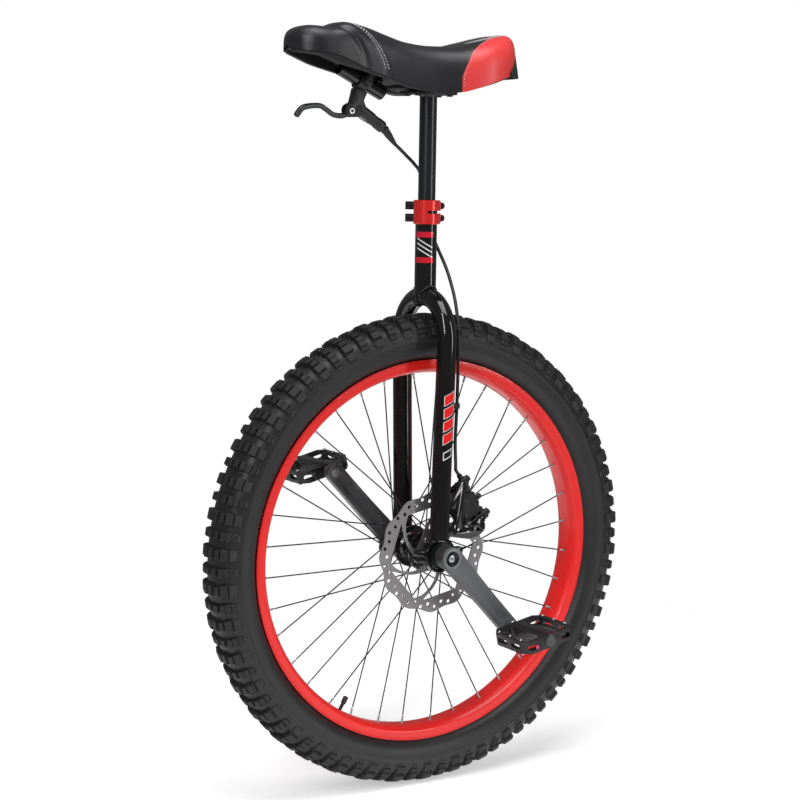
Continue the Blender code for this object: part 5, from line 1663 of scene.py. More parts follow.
# ------------------------------------------------------------------ brake
@dataclass
class Caliper:
    """The brake caliper on its bracket behind the left leg."""

    turn: float = math.radians(145)
    centre: float = -0.0296
    half_length: float = 0.0235
    low: float = 0.06
    high: float = 0.1
    inner_y: float = 0.0185
    outer_y: float = 0.0515
    spacing: float = 0.0633
    bolt_y: float = 0.0475
    rotor_y: float = 0.032
    ear: float = 0.0092
    slot_half: float = 0.0061
    piston: float = 0.076
    piston_radius: float = 0.0125
    post_radius: float = 0.0064
    bracket_y: float = 0.056
    bracket_thickness: float = 0.006

    def placing(self) -> Matrix:
        """Returns local X down the caliper, local Y away from the axle, local Z to the left."""
        out = Vector((math.cos(self.turn), 0.0, math.sin(self.turn)))
        across = Vector((0.0, 1.0, 0.0))
        return Matrix.Translation(AXLE) @ Matrix(
            (out.cross(across), out, across)
        ).transposed().to_4x4()

    def bolt_places(self) -> tuple[float, float]:
        """Returns how far along the caliper its bolts are."""
        return self.centre - self.spacing / 2, self.centre + self.spacing / 2

    def build(self) -> None:
        """Builds the body, the bolts and the bracket."""
        self.body()
        self.bracket()

    def body(self) -> None:
        """Builds the caliper's body from its lobes, fins, piston covers and ears."""
        place = self.placing()
        c, hl, low, high = self.centre, self.half_length, self.low, self.high
        body = block((c - hl, low, self.inner_y), (c + hl, high, self.outer_y), 0.0035, 3)
        room = self.slot_half
        cut(
            body,
            block((c - 0.05, 0.0, self.rotor_y - room), (c + 0.05, 0.0916, self.rotor_y + room)),
        )
        for u in (c - hl * 0.62, c + hl * 0.62):
            cut(body, rod((u, high + 0.001, 0.0), (u, high + 0.001, 0.09), 0.0052, sides=32))
        for offset in (-0.006, 0.0, 0.006):
            fin = block(
                (c + offset - 0.0014, high - 0.007, self.inner_y + 0.004),
                (c + offset + 0.0014, high + 0.0016, self.outer_y - 0.003), 0.0006, 1,
            )
            fused(body, fin)
        near, far = self.outer_y - 0.004, self.outer_y + 0.001
        ends = (c, self.piston, near), (c, self.piston, far)
        cover = rod(*ends, self.piston_radius, rounding=0.001, sides=48)
        fused(body, cover)
        window = block(
            (c - 0.0105, 0.07, self.rotor_y - 0.0045),
            (c + 0.0105, high + 0.006, self.rotor_y + 0.0045), 0.0012,
        )
        cut(body, window)
        top = self.bolt_places()[0]
        parts = []
        for u in self.bolt_places():
            parts.append(
                rod(
                    (u, high - self.ear, self.bolt_y), (u, high - 0.0002, self.bolt_y),
                    0.0078 * 0.98, rounding=0.0008, sides=36,
                )
            )
            near, far = sorted((u, c + (hl - 0.004) * (1 if u > c else -1)))
            parts.append(
                block(
                    (near, high - self.ear + 0.0006, self.bolt_y - 0.0062),
                    (far, high - 0.001, self.bolt_y + 0.0036), 0.0012,
                )
            )
        parts.append(
            rod(
                (top - 0.0132, high - 0.0052, self.bolt_y - 0.0005),
                (top + 0.004, high - 0.0052, self.bolt_y - 0.0005), 0.004, rounding=0.0006,
                sides=24,
            )
        )
        fused(body, *parts)
        settled(
            placed(body, place), "caliper_cast_body", "frame", CALIPER_BLACK, ("caliper_body",), 35
        )
        for node, u in zip(("upper_caliper_bolt", "lower_caliper_bolt"), self.bolt_places()):
            profile = [
                (0.0, high + 0.0035), (0.0022, high + 0.0035), (0.0024, high + 0.0058),
                (0.0044, high + 0.006), (0.005, high + 0.0053), (0.005, high + 0.0012),
                (0.0062, high + 0.001), (0.0062, high), (0.0028, high), (0.0028, high - 0.022),
                (0.0, high - 0.022),
            ]
            upright = at((u, 0, self.bolt_y), -90)
            bolt = placed(lathe(profile, upright, 30), place)
            settled(bolt, node + "_and_washer", "frame", BOLT_BLACK, (node,), 35)
        trim = block(
            (c + 0.006, 0.069, self.outer_y - 0.0006), (c + 0.02, 0.07, self.outer_y + 0.0008),
            0.0003, 1,
        )
        settled(placed(trim, place), "caliper_trim_strip", "frame", STEEL)
        self.studs(place)

    def studs(self, place: Matrix) -> None:
        """Builds the bleed nipple, the body bolts and the banjo at the hose."""
        c, made = self.centre, []
        for u, v, r, tall in (
            (c - 0.0165, 0.0665, 0.0042, 0.0022), (c + 0.0165, 0.0665, 0.0042, 0.0022),
            (c - 0.015, 0.0915, 0.0036, 0.0018),
        ):
            stud = lathe(
                [
                    (0.0, tall - 0.0014), (0.0016, tall - 0.0014), (0.0018, tall),
                    (r - 0.0006, tall), (r, tall - 0.0006), (r, -0.002), (0.0, -0.002),
                ],
                Matrix.Translation((u, v, self.outer_y)), 24,
            )
            made.append(stud)
        knob = rod(
            (c + 0.006, self.high, self.outer_y - 0.009),
            (c + 0.006, self.high + 0.01, self.outer_y - 0.009), 0.004, rounding=0.001, sides=28,
        )
        made.append(knob)
        studs = placed(joined(*made), place)
        settled(studs, "caliper_studs", "frame", BOLT_BLACK)

    def bracket(self) -> None:
        """Builds the welded bracket with its windows, and the two posts."""
        plan = (
            (-0.008, 0.033), (-0.014, 0.0285), (-0.02, 0.026), (-0.035, 0.0225), (-0.0524, 0.0215),
            (-0.062, 0.0235), (-0.068, 0.0265), (-0.0735, 0.0305), (-0.0757, 0.0345),
            (-0.0755, 0.041), (-0.0735, 0.046), (-0.069, 0.049), (-0.064, 0.0495), (-0.058, 0.045),
            (-0.052, 0.041), (-0.046, 0.041), (-0.04, 0.044), (-0.0365, 0.051), (-0.035, 0.06),
            (-0.036, 0.085), (-0.04, 0.098), (-0.0395, 0.104), (-0.036, 0.1065), (-0.025, 0.106),
            (-0.0225, 0.102), (-0.0225, 0.092), (-0.008, 0.09), (-0.008, 0.069), (-0.0205, 0.069),
            (-0.0225, 0.067), (-0.0225, 0.049), (-0.0205, 0.047), (-0.008, 0.047),
        )
        shape = plate(
            [
                plan, ring_points(0.0042, 24, (-0.06, 0.035)),
                ring_points(0.0036, 20, (-0.03, 0.0345)),
            ],
            self.bracket_thickness, UPRIGHT @ at((0, 0, -self.bracket_y)), 0.0008,
        )
        place = self.placing()
        posts = []
        for u in self.bolt_places():
            top = self.high - self.ear - FIT
            posts.append(
                rod(
                    place @ Vector((u, top - 0.018, self.bolt_y)),
                    place @ Vector((u, top, self.bolt_y)), self.post_radius, rounding=0.0006,
                    sides=32,
                )
            )
            posts.append(
                block(
                    (u - 0.005, top - 0.017, self.bolt_y), (u + 0.005, top - 0.001, 0.058), 0.0008,
                    placing=place,
                )
            )
        fused(shape, *posts)
        leg = Fork()
        cut(shape, sweep(leg.leg_path(LEFT, 0.01)[:5], leg.leg_radius + FIT, 12))
        settled(shape, "caliper_bracket_plate", "frame", FRAME_BLACK, ("caliper_bracket",), 35)


@dataclass
class Hose:
    """The brake hose from the lever's boot to the caliper, and the clips that hold it."""

    radius: float = 0.0025
    route: tuple[tuple[float, float, float], ...] = (
        (0.0555, 0.0, 0.5965), (0.042, -0.004, 0.5876), (0.026, -0.011, 0.578),
        (0.01, -0.02, 0.569), (-0.006, -0.029, 0.556), (-0.017, -0.035, 0.525),
        (-0.023, -0.035, 0.49), (-0.028, -0.027, 0.465), (-0.03, -0.012, 0.443),
        (-0.03, 0.008, 0.42), (-0.027, 0.029, 0.395), (-0.0225, 0.048, 0.369),
        (-0.0205, 0.059, 0.335), (-0.0205, 0.061, 0.282), (-0.0205, 0.06, 0.22),
        (-0.0215, 0.056, 0.17), (-0.027, 0.05, 0.132),
    )
    clips: tuple[tuple[str, float], ...] = (("upper_hose_clip", 0.335), ("lower_hose_clip", 0.22))
    clip_height: float = 0.008

    def build(self, caliper: Caliper) -> None:
        """Builds the hose and its clips.

        Args:
            caliper: The caliper that it ends in.
        """
        top = caliper.bolt_places()[0] - 0.0078 - 0.007 - FIT
        end = caliper.placing() @ Vector(
            (top, caliper.high - caliper.ear + 0.004, caliper.bolt_y - 0.0005)
        )
        way = caliper.placing().to_3x3() @ Vector((-1, 0, 0))
        line = smooth_path([up(*p) for p in self.route] + [end + way * 0.008, end], 8)
        hose = sweep(line, self.radius, 5)
        settled(hose, "brake_hose_run", "", HOSE_RUBBER, ("brake_hose",), 60)
        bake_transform(hose)
        for node, z in self.clips:
            self.clip(node, z, line)

    def clip(self, node: str, z: float, line: list[Vector]) -> None:
        """Builds one clip: a band round the hose with a foot on the leg."""
        centre = min(line, key=lambda point: abs(point.z - AXLE.z - z))
        h, r = self.clip_height / 2, self.radius
        band = rod(
            centre - Vector((0, 0, h)), centre + Vector((0, 0, h)), r + 0.002, rounding=0.0007,
            sides=32,
        )
        foot_end = Vector((-0.0085, centre.y + 0.0012, centre.z))
        foot = block(
            (centre.x, centre.y - r - 0.0012, centre.z - h * 0.9),
            (foot_end.x, centre.y + r + 0.0012, centre.z + h * 0.9), 0.0008,
        )
        fused(band, foot)
        fork = Fork()
        cut(band, sweep(fork.leg_path(LEFT, 0.15)[:8], fork.leg_radius + FIT, 12))
        settled(band, node + "_band", "frame", PLASTIC, (node,), 40)


# ------------------------------------------------------------------ seat
@dataclass
class Saddle:
    """The padded saddle with its base, seams, stitches and tail guard, on its post."""

    fineness: int = 56
    lengthwise: int = 150
    stations: tuple[tuple[float, ...], ...] = (
        (-0.1318, 0.01, 0.744, 0.711, 0.707, 0.706), (-0.131, 0.024, 0.749, 0.706, 0.704, 0.702),
        (-0.124, 0.04, 0.758, 0.701, 0.703, 0.7), (-0.112, 0.056, 0.759, 0.6985, 0.701, 0.6975),
        (-0.095, 0.069, 0.756, 0.696, 0.696, 0.694), (-0.06, 0.0775, 0.7475, 0.685, 0.686, 0.683),
        (-0.02, 0.072, 0.7385, 0.672, 0.676, 0.6725), (0.02, 0.063, 0.7372, 0.668, 0.6735, 0.67),
        (0.06, 0.055, 0.7415, 0.6765, 0.68, 0.6745), (0.09, 0.05, 0.75, 0.687, 0.693, 0.684),
        (0.12, 0.0475, 0.759, 0.6955, 0.707, 0.692), (0.15, 0.0465, 0.764, 0.707, 0.7165, 0.699),
        (0.178, 0.0455, 0.756, 0.7165, 0.719, 0.706), (0.205, 0.041, 0.7565, 0.7195, 0.721, 0.715),
        (0.222, 0.029, 0.751, 0.7205, 0.7225, 0.7185), (0.231, 0.012, 0.742, 0.723, 0.7235, 0.721),
        (0.2325, 0.003, 0.736, 0.727, 0.724, 0.7225),
    )
    red_edge: tuple[tuple[float, float], ...] = (
        (-0.133, 100.0), (-0.1188, 90.0), (-0.0848, 76.0), (-0.051, 57.0), (-0.035, 43.0),
        (-0.0205, 20.0), (-0.0128, 8.0), (-0.0116, 0.0),
    )
    edge_power: float = 0.62
    crown_power: float = 0.55
    fold_top: float = 0.177
    fold_sweep: float = 0.046
    fold_width: float = 0.005
    fold_depth: float = 0.0022
    seam_top: float = 0.1537
    seam_sweep: float = 0.053
    seam_width: float = 0.0016
    seam_depth: float = 0.0008
    seam_gap: float = 0.00567
    dip_width: float = 0.016
    dip_depth: float = 0.001
    patch_x: float = -0.077
    patch_length: float = 0.036
    patch_y: float = 0.027
    patch_width: float = 0.0085
    stitch: float = 0.003
    stitch_pitch: float = 0.0046
    stitch_radius: float = 0.00048
    stitch_rise: float = 0.0004
    guard_gap: float = 0.0006
    guard_reach: float = 0.0055
    guard_height: float = 0.037
    guard_middle: float = 0.714
    guard_centre: float = -0.085
    post_radius: float = 0.0127
    post_bore: float = 0.0107
    post_low: float = 0.42

    def at(self, x: float) -> tuple[float, ...]:
        """Returns the saddle's sizes at one place along it, rounded between its stations."""
        rows = self.stations
        x = min(max(x, rows[0][0]), rows[-1][0])
        index = max(i for i in range(len(rows) - 1) if rows[i][0] <= x + 1e-9)
        b, c = rows[index], rows[index + 1]
        a, d = rows[max(index - 1, 0)], rows[min(index + 2, len(rows) - 1)]
        t = (x - b[0]) / (c[0] - b[0])
        span = c[0] - b[0]
        found = [x]
        for k in range(1, 6):
            rise_b = (c[k] - a[k]) / max(c[0] - a[0], 1e-6) * span
            rise_c = (d[k] - b[k]) / max(d[0] - b[0], 1e-6) * span
            rise_b, rise_c = self.limited(rise_b, c[k] - b[k]), self.limited(rise_c, c[k] - b[k])
            t2, t3 = t * t, t * t * t
            near, far = 2 * t3 - 3 * t2 + 1, 3 * t2 - 2 * t3
            leaving, arriving = t3 - 2 * t2 + t, t3 - t2
            found.append(near * b[k] + leaving * rise_b + far * c[k] + arriving * rise_c)
        return tuple(found)

    @staticmethod
    def limited(rise: float, change: float) -> float:
        """Returns a slope kept from swinging past its two stations."""
        bound = 3 * abs(change)
        return max(-bound, min(bound, rise)) if rise * change > 0 or abs(change) < 0.001 else 0.0

    def skin(self, x: float, angle: float) -> Vector:
        """Returns a point on the cover.

        Args:
            x: Its place along the saddle.
            angle: 0 at the right edge, half a turn at the left one.

        Returns:
            The point.
        """
        _, half, top, low, *_ = self.at(x)
        side, rise = -math.cos(angle), max(math.sin(angle), 0.0)
        across = math.copysign(abs(side) ** self.edge_power, side) * half
        z = low + (top - low) * rise**self.crown_power
        flat = 1 - abs(2 * angle / math.pi - 1)
        fold_x = self.fold_top - self.fold_sweep * (1 - flat) ** 1.4
        fold = math.exp(-(((x - fold_x) / self.fold_width) ** 2)) * self.fold_depth
        fold *= min(1.0, flat * 3.5 + 0.35)
        seam = 0.0
        for line in self.seam_lines():
            seam += self.seam_depth * math.exp(-(((x - line(flat)) / self.seam_width) ** 2))
        dip = math.exp(-((across / self.dip_width) ** 2)) * self.dip_depth * (-0.12 < x < 0.13)
        pull = 1 - (fold + seam) / max(half, 0.02)
        return up(x, across * pull, z - (fold + seam) * min(1.0, rise * 1.4) - dip)

    def seam_lines(self) -> tuple[Callable[[float], float], ...]:
        """Returns where the double stitched seam runs, by how near the top a point is."""
        return tuple(
            (lambda flat, top=top: top - self.seam_sweep * (1 - flat) ** 1.25)
            for top in (self.seam_top, self.seam_top - self.seam_gap)
        )

    def build(self) -> None:
        """Builds every piece of the seat above the post."""
        self.cover()
        self.stitches()
        self.base()
        self.guard()
        self.post()

    def rows(self) -> list[float]:
        """Returns the places of the cover's rows, closer together at its ends."""
        first, last = self.stations[0][0], self.stations[-1][0]
        count = self.lengthwise
        return [
            first + (last - first) * (
                0.5 - 0.5 * math.cos(math.pi * (0.06 + 0.88 * i / count)) - 0.00885
            ) / 0.9823
            for i in range(count + 1)
        ]

    def cover(self) -> None:
        """Builds the crowned cover, closed underneath, and marks its panels."""
        rings = []
        for x in self.rows():
            x = min(max(x, self.stations[0][0]), self.stations[-1][0])
            ring = [
                self.skin(x, math.pi * (0.5 - 0.5 * math.cos(math.pi * i / self.fineness)))
                for i in range(self.fineness + 1)
            ]
            _, half, top, low, *_ = self.at(x)
            for share, lift in (
                (0.95, 0.0006), (0.88, 0.005), (0.4, 0.006), (-0.4, 0.006), (-0.88, 0.005),
                (-0.95, 0.0006),
            ):
                ring.append(up(x, half * share, low + min(lift, (top - low) * 0.4)))
            rings.append(ring)
        cover = loft(rings)
        self.mark(cover)
        settled(cover, "saddle_padded_cover", "seat", VINYL, ("saddle_cover", "saddle_foam"), 75)

    def mark(self, cover: Piece) -> None:
        """Gives the cover the marks of its red panel and of its pale patch."""
        names = ("red_panel", "clear_patch")
        for name in names:
            cover.data.attributes.new(name, "FLOAT", "POINT")
        marks = {name: cover.data.attributes[name] for name in names}
        for i, corner in enumerate(cover.data.vertices):
            place = corner.co - AXLE
            _, half, top, low, *_ = self.at(place.x)
            rise = min(max((place.z - low) / max(top - low, 1e-4), 0.0), 1.0)
            sine = rise ** (1 / self.crown_power)
            angle = math.degrees(math.asin(min(sine, 1.0)))
            if abs(place.y) < half * 0.8:
                share = (abs(place.y) / max(half, 1e-4)) ** (1 / self.edge_power)
                angle = max(angle, math.degrees(math.acos(min(1.0, share))))
            inside = (self.edge_angle(place.x) - angle) / 16.0
            if place.x > self.red_edge[-1][0] - 0.01:
                inside = min(inside, (self.red_edge[-1][0] - place.x) / 0.01)
            marks["red_panel"].data[i].value = 0.5 + max(-0.5, min(0.5, inside))
            lengthwise = (place.x - self.patch_x) / self.patch_length
            sideways = (abs(place.y) - self.patch_y) / self.patch_width
            patch = 0.5 + max(-0.5, min(0.5, (1.0 - (lengthwise**2 + sideways**2)) * 0.5))
            marks["clear_patch"].data[i].value = patch if place.z > (low + top) / 2 else 0.0

    def edge_angle(self, x: float) -> float:
        """Returns how far up the side the red panel's edge is, in degrees."""
        rows = self.red_edge
        if x >= rows[-1][0]:
            return -30.0
        for (x0, a0), (x1, a1) in zip(rows, rows[1:]):
            if x <= x1:
                return a0 + (a1 - a0) * max(0.0, (x - x0) / (x1 - x0))
        return 0.0

    def stitches(self) -> None:
        """Builds the white double stitching and the pink row along the red panels."""
        white = [
            self.dashes([(line(flat), flat) for flat in self.spread(1.0, 0.02, 40)])
            for line in self.seam_lines()
        ]
        thread = joined(*[piece for pair in white for piece in pair])
        settled(thread, "saddle_white_stitching", "seat", THREAD, (), 60)
        path = [(x - 0.0026, min(a, 90.0) / 90.0) for x, a in self.refined(self.red_edge)]
        pink = joined(*self.dashes(path))
        settled(pink, "saddle_pink_stitching", "seat", PINK_THREAD, (), 60)

    @staticmethod
    def spread(first: float, last: float, count: int) -> list[float]:
        """Returns evenly spread values."""
        return [first + (last - first) * i / count for i in range(count + 1)]

    @staticmethod
    def refined(rows: Sequence[tuple[float, float]]) -> list[tuple[float, float]]:
        """Returns the rows with five steps between each two."""
        return [
            (x0 + (x1 - x0) * i / 5, a0 + (a1 - a0) * i / 5)
            for (x0, a0), (x1, a1) in zip(rows, rows[1:])
            for i in range(5)
        ]

    def dashes(self, path: list[tuple[float, float]]) -> list[Piece]:
        """Returns the stitches along a line on the cover, on both sides of it.

        Args:
            path: (place along, how near the top) pairs.

        Returns:
            One piece for each side, a short bar for each stitch.
        """
        found = []
        for side in (LEFT, RIGHT):
            points = []
            for x, flat in path:
                angle = math.pi / 2 * flat if side < 0 else math.pi - math.pi / 2 * flat
                base = self.skin(x, angle)
                points.append(base + (base - up(x, 0.0, 0.7)).normalized() * self.stitch_rise)
            found.append(self.stitch_row(points))
        return found

    def stitch_row(self, points: list[Vector]) -> Piece:
        """Returns a row of stitches along a line of points."""
        made, travelled, due = [], 0.0, 0.0
        for a, b in zip(points, points[1:]):
            step = (b - a).length
            while step > 1e-7 and travelled + step > due:
                start = a.lerp(b, (due - travelled) / step)
                way = (b - a).normalized()
                made.append((start, start + way * self.stitch))
                due += self.stitch_pitch
            travelled += step
        curve = new_curve(
            "3D", bevel_depth=self.stitch_radius, bevel_resolution=0, use_fill_caps=True
        )
        for start, end in made:
            add_loop(curve, (start, end), False)
        return as_mesh(curve)

    def base(self) -> None:
        """Builds the moulded base under the cover, with its turned-down skirt."""
        rings = []
        inset = 0.0034
        for x in self.rows()[::2]:
            x = min(max(x, self.stations[1][0] + 0.004), self.stations[-2][0] - 0.002)
            _, half, _, _, under, skirt = self.at(x)
            edge = max(half - inset, half * 0.5)
            inner = max(edge - 0.008, edge * 0.3)
            top = under + 0.004
            skirt = min(skirt, under - 0.0004)
            half_ring = [
                (0.0, under + 0.0012), (inner * 0.5, under + 0.001), (inner, under),
                (inner + 0.0008, skirt + 0.0008), (inner + 0.002, skirt), (edge - 0.0012, skirt),
                (edge, skirt + 0.0012), (edge, top),
            ]
            ring = [(-y, z) for y, z in half_ring[:0:-1]] + half_ring
            rings.append([up(x, y, z) for y, z in ring] + [up(x, 0.0, top)])
        base = loft(rings)
        ribs = []
        for x in (-0.085, -0.055, 0.055, 0.085, 0.115):
            _, half, _, _, under, _ = self.at(x)
            ribs.append(
                block(
                    up(x - 0.0012, -half * 0.72, under - 0.0035),
                    up(x + 0.0012, half * 0.72, under + 0.0015), 0.0004, 1,
                )
            )
        settled(joined(base, *ribs), "saddle_moulded_base", "seat", PLASTIC, ("saddle_base",), 50)

    def guard(self) -> None:
        """Builds the guard round the tail, with its top leaning in to the cover."""
        tail = [row for row in self.stations[1:] if row[0] < -0.09]
        centre = Vector((self.guard_centre, 0.0))
        loops = []
        line = [Vector((x, -half)) for x, half, *_ in reversed(tail)]
        line += [Vector((x, half)) for x, half, *_ in tail]
        dense = [Vector((p.x, p.y)) for p in smooth_path([(p.x, p.y, 0.0) for p in line], 5)]
        for distance in (self.guard_gap, self.guard_reach):
            loop = []
            for point in dense:
                away = (point - centre).normalized()
                away.y *= 1.6
                loop.append(point + away.normalized() * distance)
            loops.append(loop)
        plan = [tuple(p) for p in loops[0]] + [tuple(p) for p in reversed(loops[1])]
        guard = plate([plan], self.guard_height, at(up(0, 0, self.guard_middle)))
        with Shaping(guard) as shaping:
            shaping.faces(lambda centre, normal: normal.z > 0.9)
            top = up(self.guard_centre, 0.0, self.guard_middle + self.guard_height / 2)
            bpy.ops.transform.resize(value=(0.9, 0.9, 1.0), center_override=top)
            shaping.everything()
            bpy.ops.mesh.bisect(
                plane_co=up(-0.1235, 0, 0.733), plane_no=(0.75, 0.0, 0.66), use_fill=True,
                clear_outer=True,
            )
            shaping.tidy()
        bevelled(guard, 0.0022, 4, 50)
        settled(guard, "saddle_tail_guard", "seat", PLASTIC, ("rear_bumper",), 45)

    def post(self) -> None:
        """Builds the seat post with its top plate, its weld and its four nuts."""
        lowest = min(self.at(x)[4] for x in (-0.036, 0.0, 0.02, 0.036))
        top = lowest - 0.0045 - FIT
        r, inner, low = self.post_radius, self.post_bore, self.post_low
        post = lathe(
            [
                (r, low + 0.0005), (r, top - 0.003), (r + 0.0016, top - 0.0012),
                (r + 0.0026, top + 0.0003), (inner, top + 0.0003), (inner, low), (r - 0.0005, low),
            ],
            at(AXLE), 96, ring=True,
        )
        settled(post, "seat_post_tube", "seat", POST_BLACK, ("seatpost",), 35)
        plane = block(up(-0.036, -0.022, top), up(0.036, 0.022, top + 0.0045), 0.001)
        nuts = []
        for x in (-0.027, 0.027):
            for y in (-0.015, 0.015):
                nuts.append(
                    plate(
                        [ring_points(0.0052, 6)], 0.004, Matrix.Translation(up(x, y, top - 0.0004)),
                        0.0004,
                    )
                )
        settled(joined(plane, *nuts), "seat_post_plate_and_nuts", "seat", BLACK_ALLOY, (), 35)


@dataclass
class Lever:
    """The brake lever group under the nose: bar, clamp, cylinder, blade and boot."""

    bar_rear: Vector = up(0.0775, 0.0, 0.668)
    bar_front: Vector = up(0.1483, 0.0, 0.7017)
    bar_radius: float = 0.0111
    bar_wall: float = 0.0016
    clamp_radius: float = 0.0152
    clamp_half: float = 0.0072
    pivot: Vector = up(0.1322, 0.0, 0.641)
    master_top: Vector = up(0.121, 0.0, 0.6475)
    master_end: Vector = up(0.076, 0.0, 0.619)
    boot_end: Vector = up(0.0565, 0.0, 0.5975)
    path: tuple[tuple[float, float], ...] = (
        (0.1322, 0.641), (0.1422, 0.6345), (0.1574, 0.6351), (0.1698, 0.6422), (0.1795, 0.6468),
        (0.1954, 0.6461), (0.208, 0.6426), (0.216, 0.6335),
    )

    def build(self) -> None:
        """Builds the whole group."""
        self.bar()
        self.cylinder()
        self.blade()
        self.boot()

    def clamp_space(self) -> Matrix:
        """Returns local X along the bar at the clamp, local Z up."""
        way = (self.bar_front - self.bar_rear).normalized()
        middle = self.bar_rear.lerp(self.bar_front, 0.49)
        return Matrix.Translation(middle) @ way.to_track_quat("X", "Z").to_matrix().to_4x4()

    def bar(self) -> None:
        """Builds the open tube and the tab that holds it to the saddle's base."""
        length, r, inner = (
            self.bar_front - self.bar_rear
        ).length, self.bar_radius, self.bar_radius - self.bar_wall
        tube = lathe(
            [
                (r, 0.0006), (r, length - 0.0006), (r - 0.0006, length), (inner + 0.0004, length),
                (inner, length - 0.0006), (inner, 0.0006), (inner + 0.0004, 0.0), (r - 0.0006, 0.0),
            ],
            along(self.bar_rear, self.bar_front), 72, ring=True,
        )
        settled(tube, "brake_bar_tube", "seat", FRAME_BLACK, ("brake_bar",), 35)
        saddle = Saddle()
        x = self.bar_rear.lerp(self.bar_front, 0.16).x
        top = min(saddle.at(x - 0.008)[4], saddle.at(x + 0.008)[4]) - FIT
        tab = block(
            (x - 0.008, -0.007, self.bar_rear.z + 0.014), (x + 0.008, 0.007, AXLE.z + top), 0.0014,
            2,
        )
        settled(tab, "brake_bar_tab", "seat", FRAME_BLACK, (), 35)
        space = self.clamp_space()
        half, outer = self.clamp_half, self.clamp_radius
        section = tube_section(self.bar_radius + FIT, outer, -half, half, 0.0006)
        ring = lathe(section, at((0, 0, 0), 90, "Y"), 72, ring=True)
        lug = block((-0.0066, 0.012, 0.0003), (0.0066, 0.0223, 0.0045), 0.001)
        fused(ring, lug)
        cut(ring, block((-0.02, -0.03, -0.03), (0.02, 0.03, 0.0)))
        settled(
            placed(ring, space), "lever_clamp_upper_half", "seat", MATTE_BLACK, ("lever_clamp",), 35
        )
        bolt = lathe(
            [
                (0.0, 0.0064), (0.002, 0.0064), (0.0022, 0.0085), (0.0036, 0.0085), (0.0041, 0.008),
                (0.0041, 0.0046), (0.002, 0.0046), (0.002, -0.006), (0.0, -0.006),
            ],
            space @ at((0, 0.0185, 0)), 28,
        )
        settled(bolt, "lever_clamp_socket_bolt", "seat", STEEL, ("lever_clamp_bolt",), 35)

    def cylinder(self) -> None:
        """Builds the cylinder with its neck, clamp half and fork, its pivot pin and its insert."""
        way = (self.master_end - self.master_top).normalized()
        total = (self.master_end - self.master_top).length
        body = lathe(
            [
                (0.0, -0.002), (0.0078, -0.002), (0.0088, 0.0), (0.0088, 0.03), (0.008, 0.032),
                (0.008, 0.04), (0.0086, 0.0415), (0.0086, total - 0.002), (0.007, total),
                (0.0, total),
            ],
            along(self.master_top, self.master_end), 56,
        )
        space = self.clamp_space()
        half = self.clamp_half
        section = tube_section(0.0, self.clamp_radius, -half, half, 0.0006)
        lower = lathe(section, space @ at((0, 0, 0), 90, "Y"), 72)
        neck_plan = (
            (0.1255, 0.6745), (0.129, 0.66), (0.131, 0.653), (0.136, 0.6512), (0.14, 0.648),
            (0.1418, 0.642), (0.14, 0.6365), (0.136, 0.6335), (0.131, 0.6325), (0.118, 0.633),
            (0.108, 0.642), (0.1085, 0.649), (0.112, 0.656), (0.106, 0.668),
        )
        neck = plate([neck_plan], 0.016, UPRIGHT, 0.0022)
        lug = block((-0.0066, 0.012, -0.0075), (0.0066, 0.0223, -0.0003), 0.001, placing=space)
        fused(body, lower, neck, lug)
        room = 0.0087
        plan = [
            (x, z)
            for x, z in ring_points(
                room, 48, (self.pivot.x, self.pivot.z - AXLE.z), math.pi / 48
            ) if x < self.pivot.x
        ]
        far = self.pivot.x + 0.02
        plan = [(far, self.pivot.z - AXLE.z + room), *plan, (far, self.pivot.z - AXLE.z - room)]
        cut(
            body,
            rod(
                self.bar_rear - (self.bar_front - self.bar_rear),
                self.bar_front + (self.bar_front - self.bar_rear), self.bar_radius + FIT, sides=72,
            ),
            block((-0.0082, -0.03, -0.0003), (0.0082, 0.03, 0.03), placing=space),
            plate([plan], 0.0086, UPRIGHT),
            rod(
                self.pivot - Vector((0, 0.03, 0)), self.pivot + Vector((0, 0.03, 0)), 0.0029,
                sides=24,
            ),
        )
        settled(body, "master_cylinder_body", "seat", MATTE_BLACK, ("master_cylinder",), 40)
        pin = lathe(
            [
                (0.0, -0.0095), (0.0032, -0.0095), (0.0036, -0.0088), (0.0036, -0.008),
                (0.0025, -0.008), (0.0025, 0.008), (0.0042, 0.008), (0.0042, 0.009),
                (0.0037, 0.0096), (0.0026, 0.0096), (0.0023, 0.0055), (0.0, 0.0055),
            ],
            at(self.pivot, -90), 36,
        )
        settled(pin, "lever_pivot_ring", "seat", STEEL, ("lever_pivot",), 35)
        side = way.cross(Vector((0, 1, 0)))
        start = self.master_top + way * 0.004
        below = side if side.z < 0 else -side
        insert = rod(
            start + below * 0.0062, start + way * 0.019 + below * 0.0062, 0.0042, rounding=0.0012,
            sides=28,
        )
        settled(insert, "master_cylinder_grey_insert", "seat", PALE_METAL_AND_RING_HIGHLIGHT, (), 35)

    def blade(self) -> None:
        """Builds the curved blade with its hub and ball end."""
        line = smooth_path([up(x, 0.0, z) for x, z in self.path], 6)
        count = len(line) - 1
        sizes = []
        for i in range(count + 1):
            t = i / count
            slim = 0.0008 * max(0.0, 1 - t / 0.12)
            sizes.append(0.0044 - slim - 0.0007 * math.sin(math.pi * min(t * 1.15, 1.0)))
        blade = sweep(line, sizes, 6)
        tip = lathe(
            [
                (0.0, -0.0042), (0.0024, -0.0037), (0.004, -0.0022), (0.0045, 0.0), (0.0038, 0.002),
                (0.002, 0.003), (0.0, 0.0033),
            ],
            along(line[-1], line[-1] + (line[-1] - line[-2])), 24,
        )
        hub = lathe(
            tube_section(0.0028, 0.0072, -0.0037, 0.0037, 0.0006), at(self.pivot, 90), 40, ring=True
        )
        blade = joined(blade, tip, hub)
        settled(blade, "brake_lever_blade", "lever", LEVER_GREY, ("brake_lever",), 45)

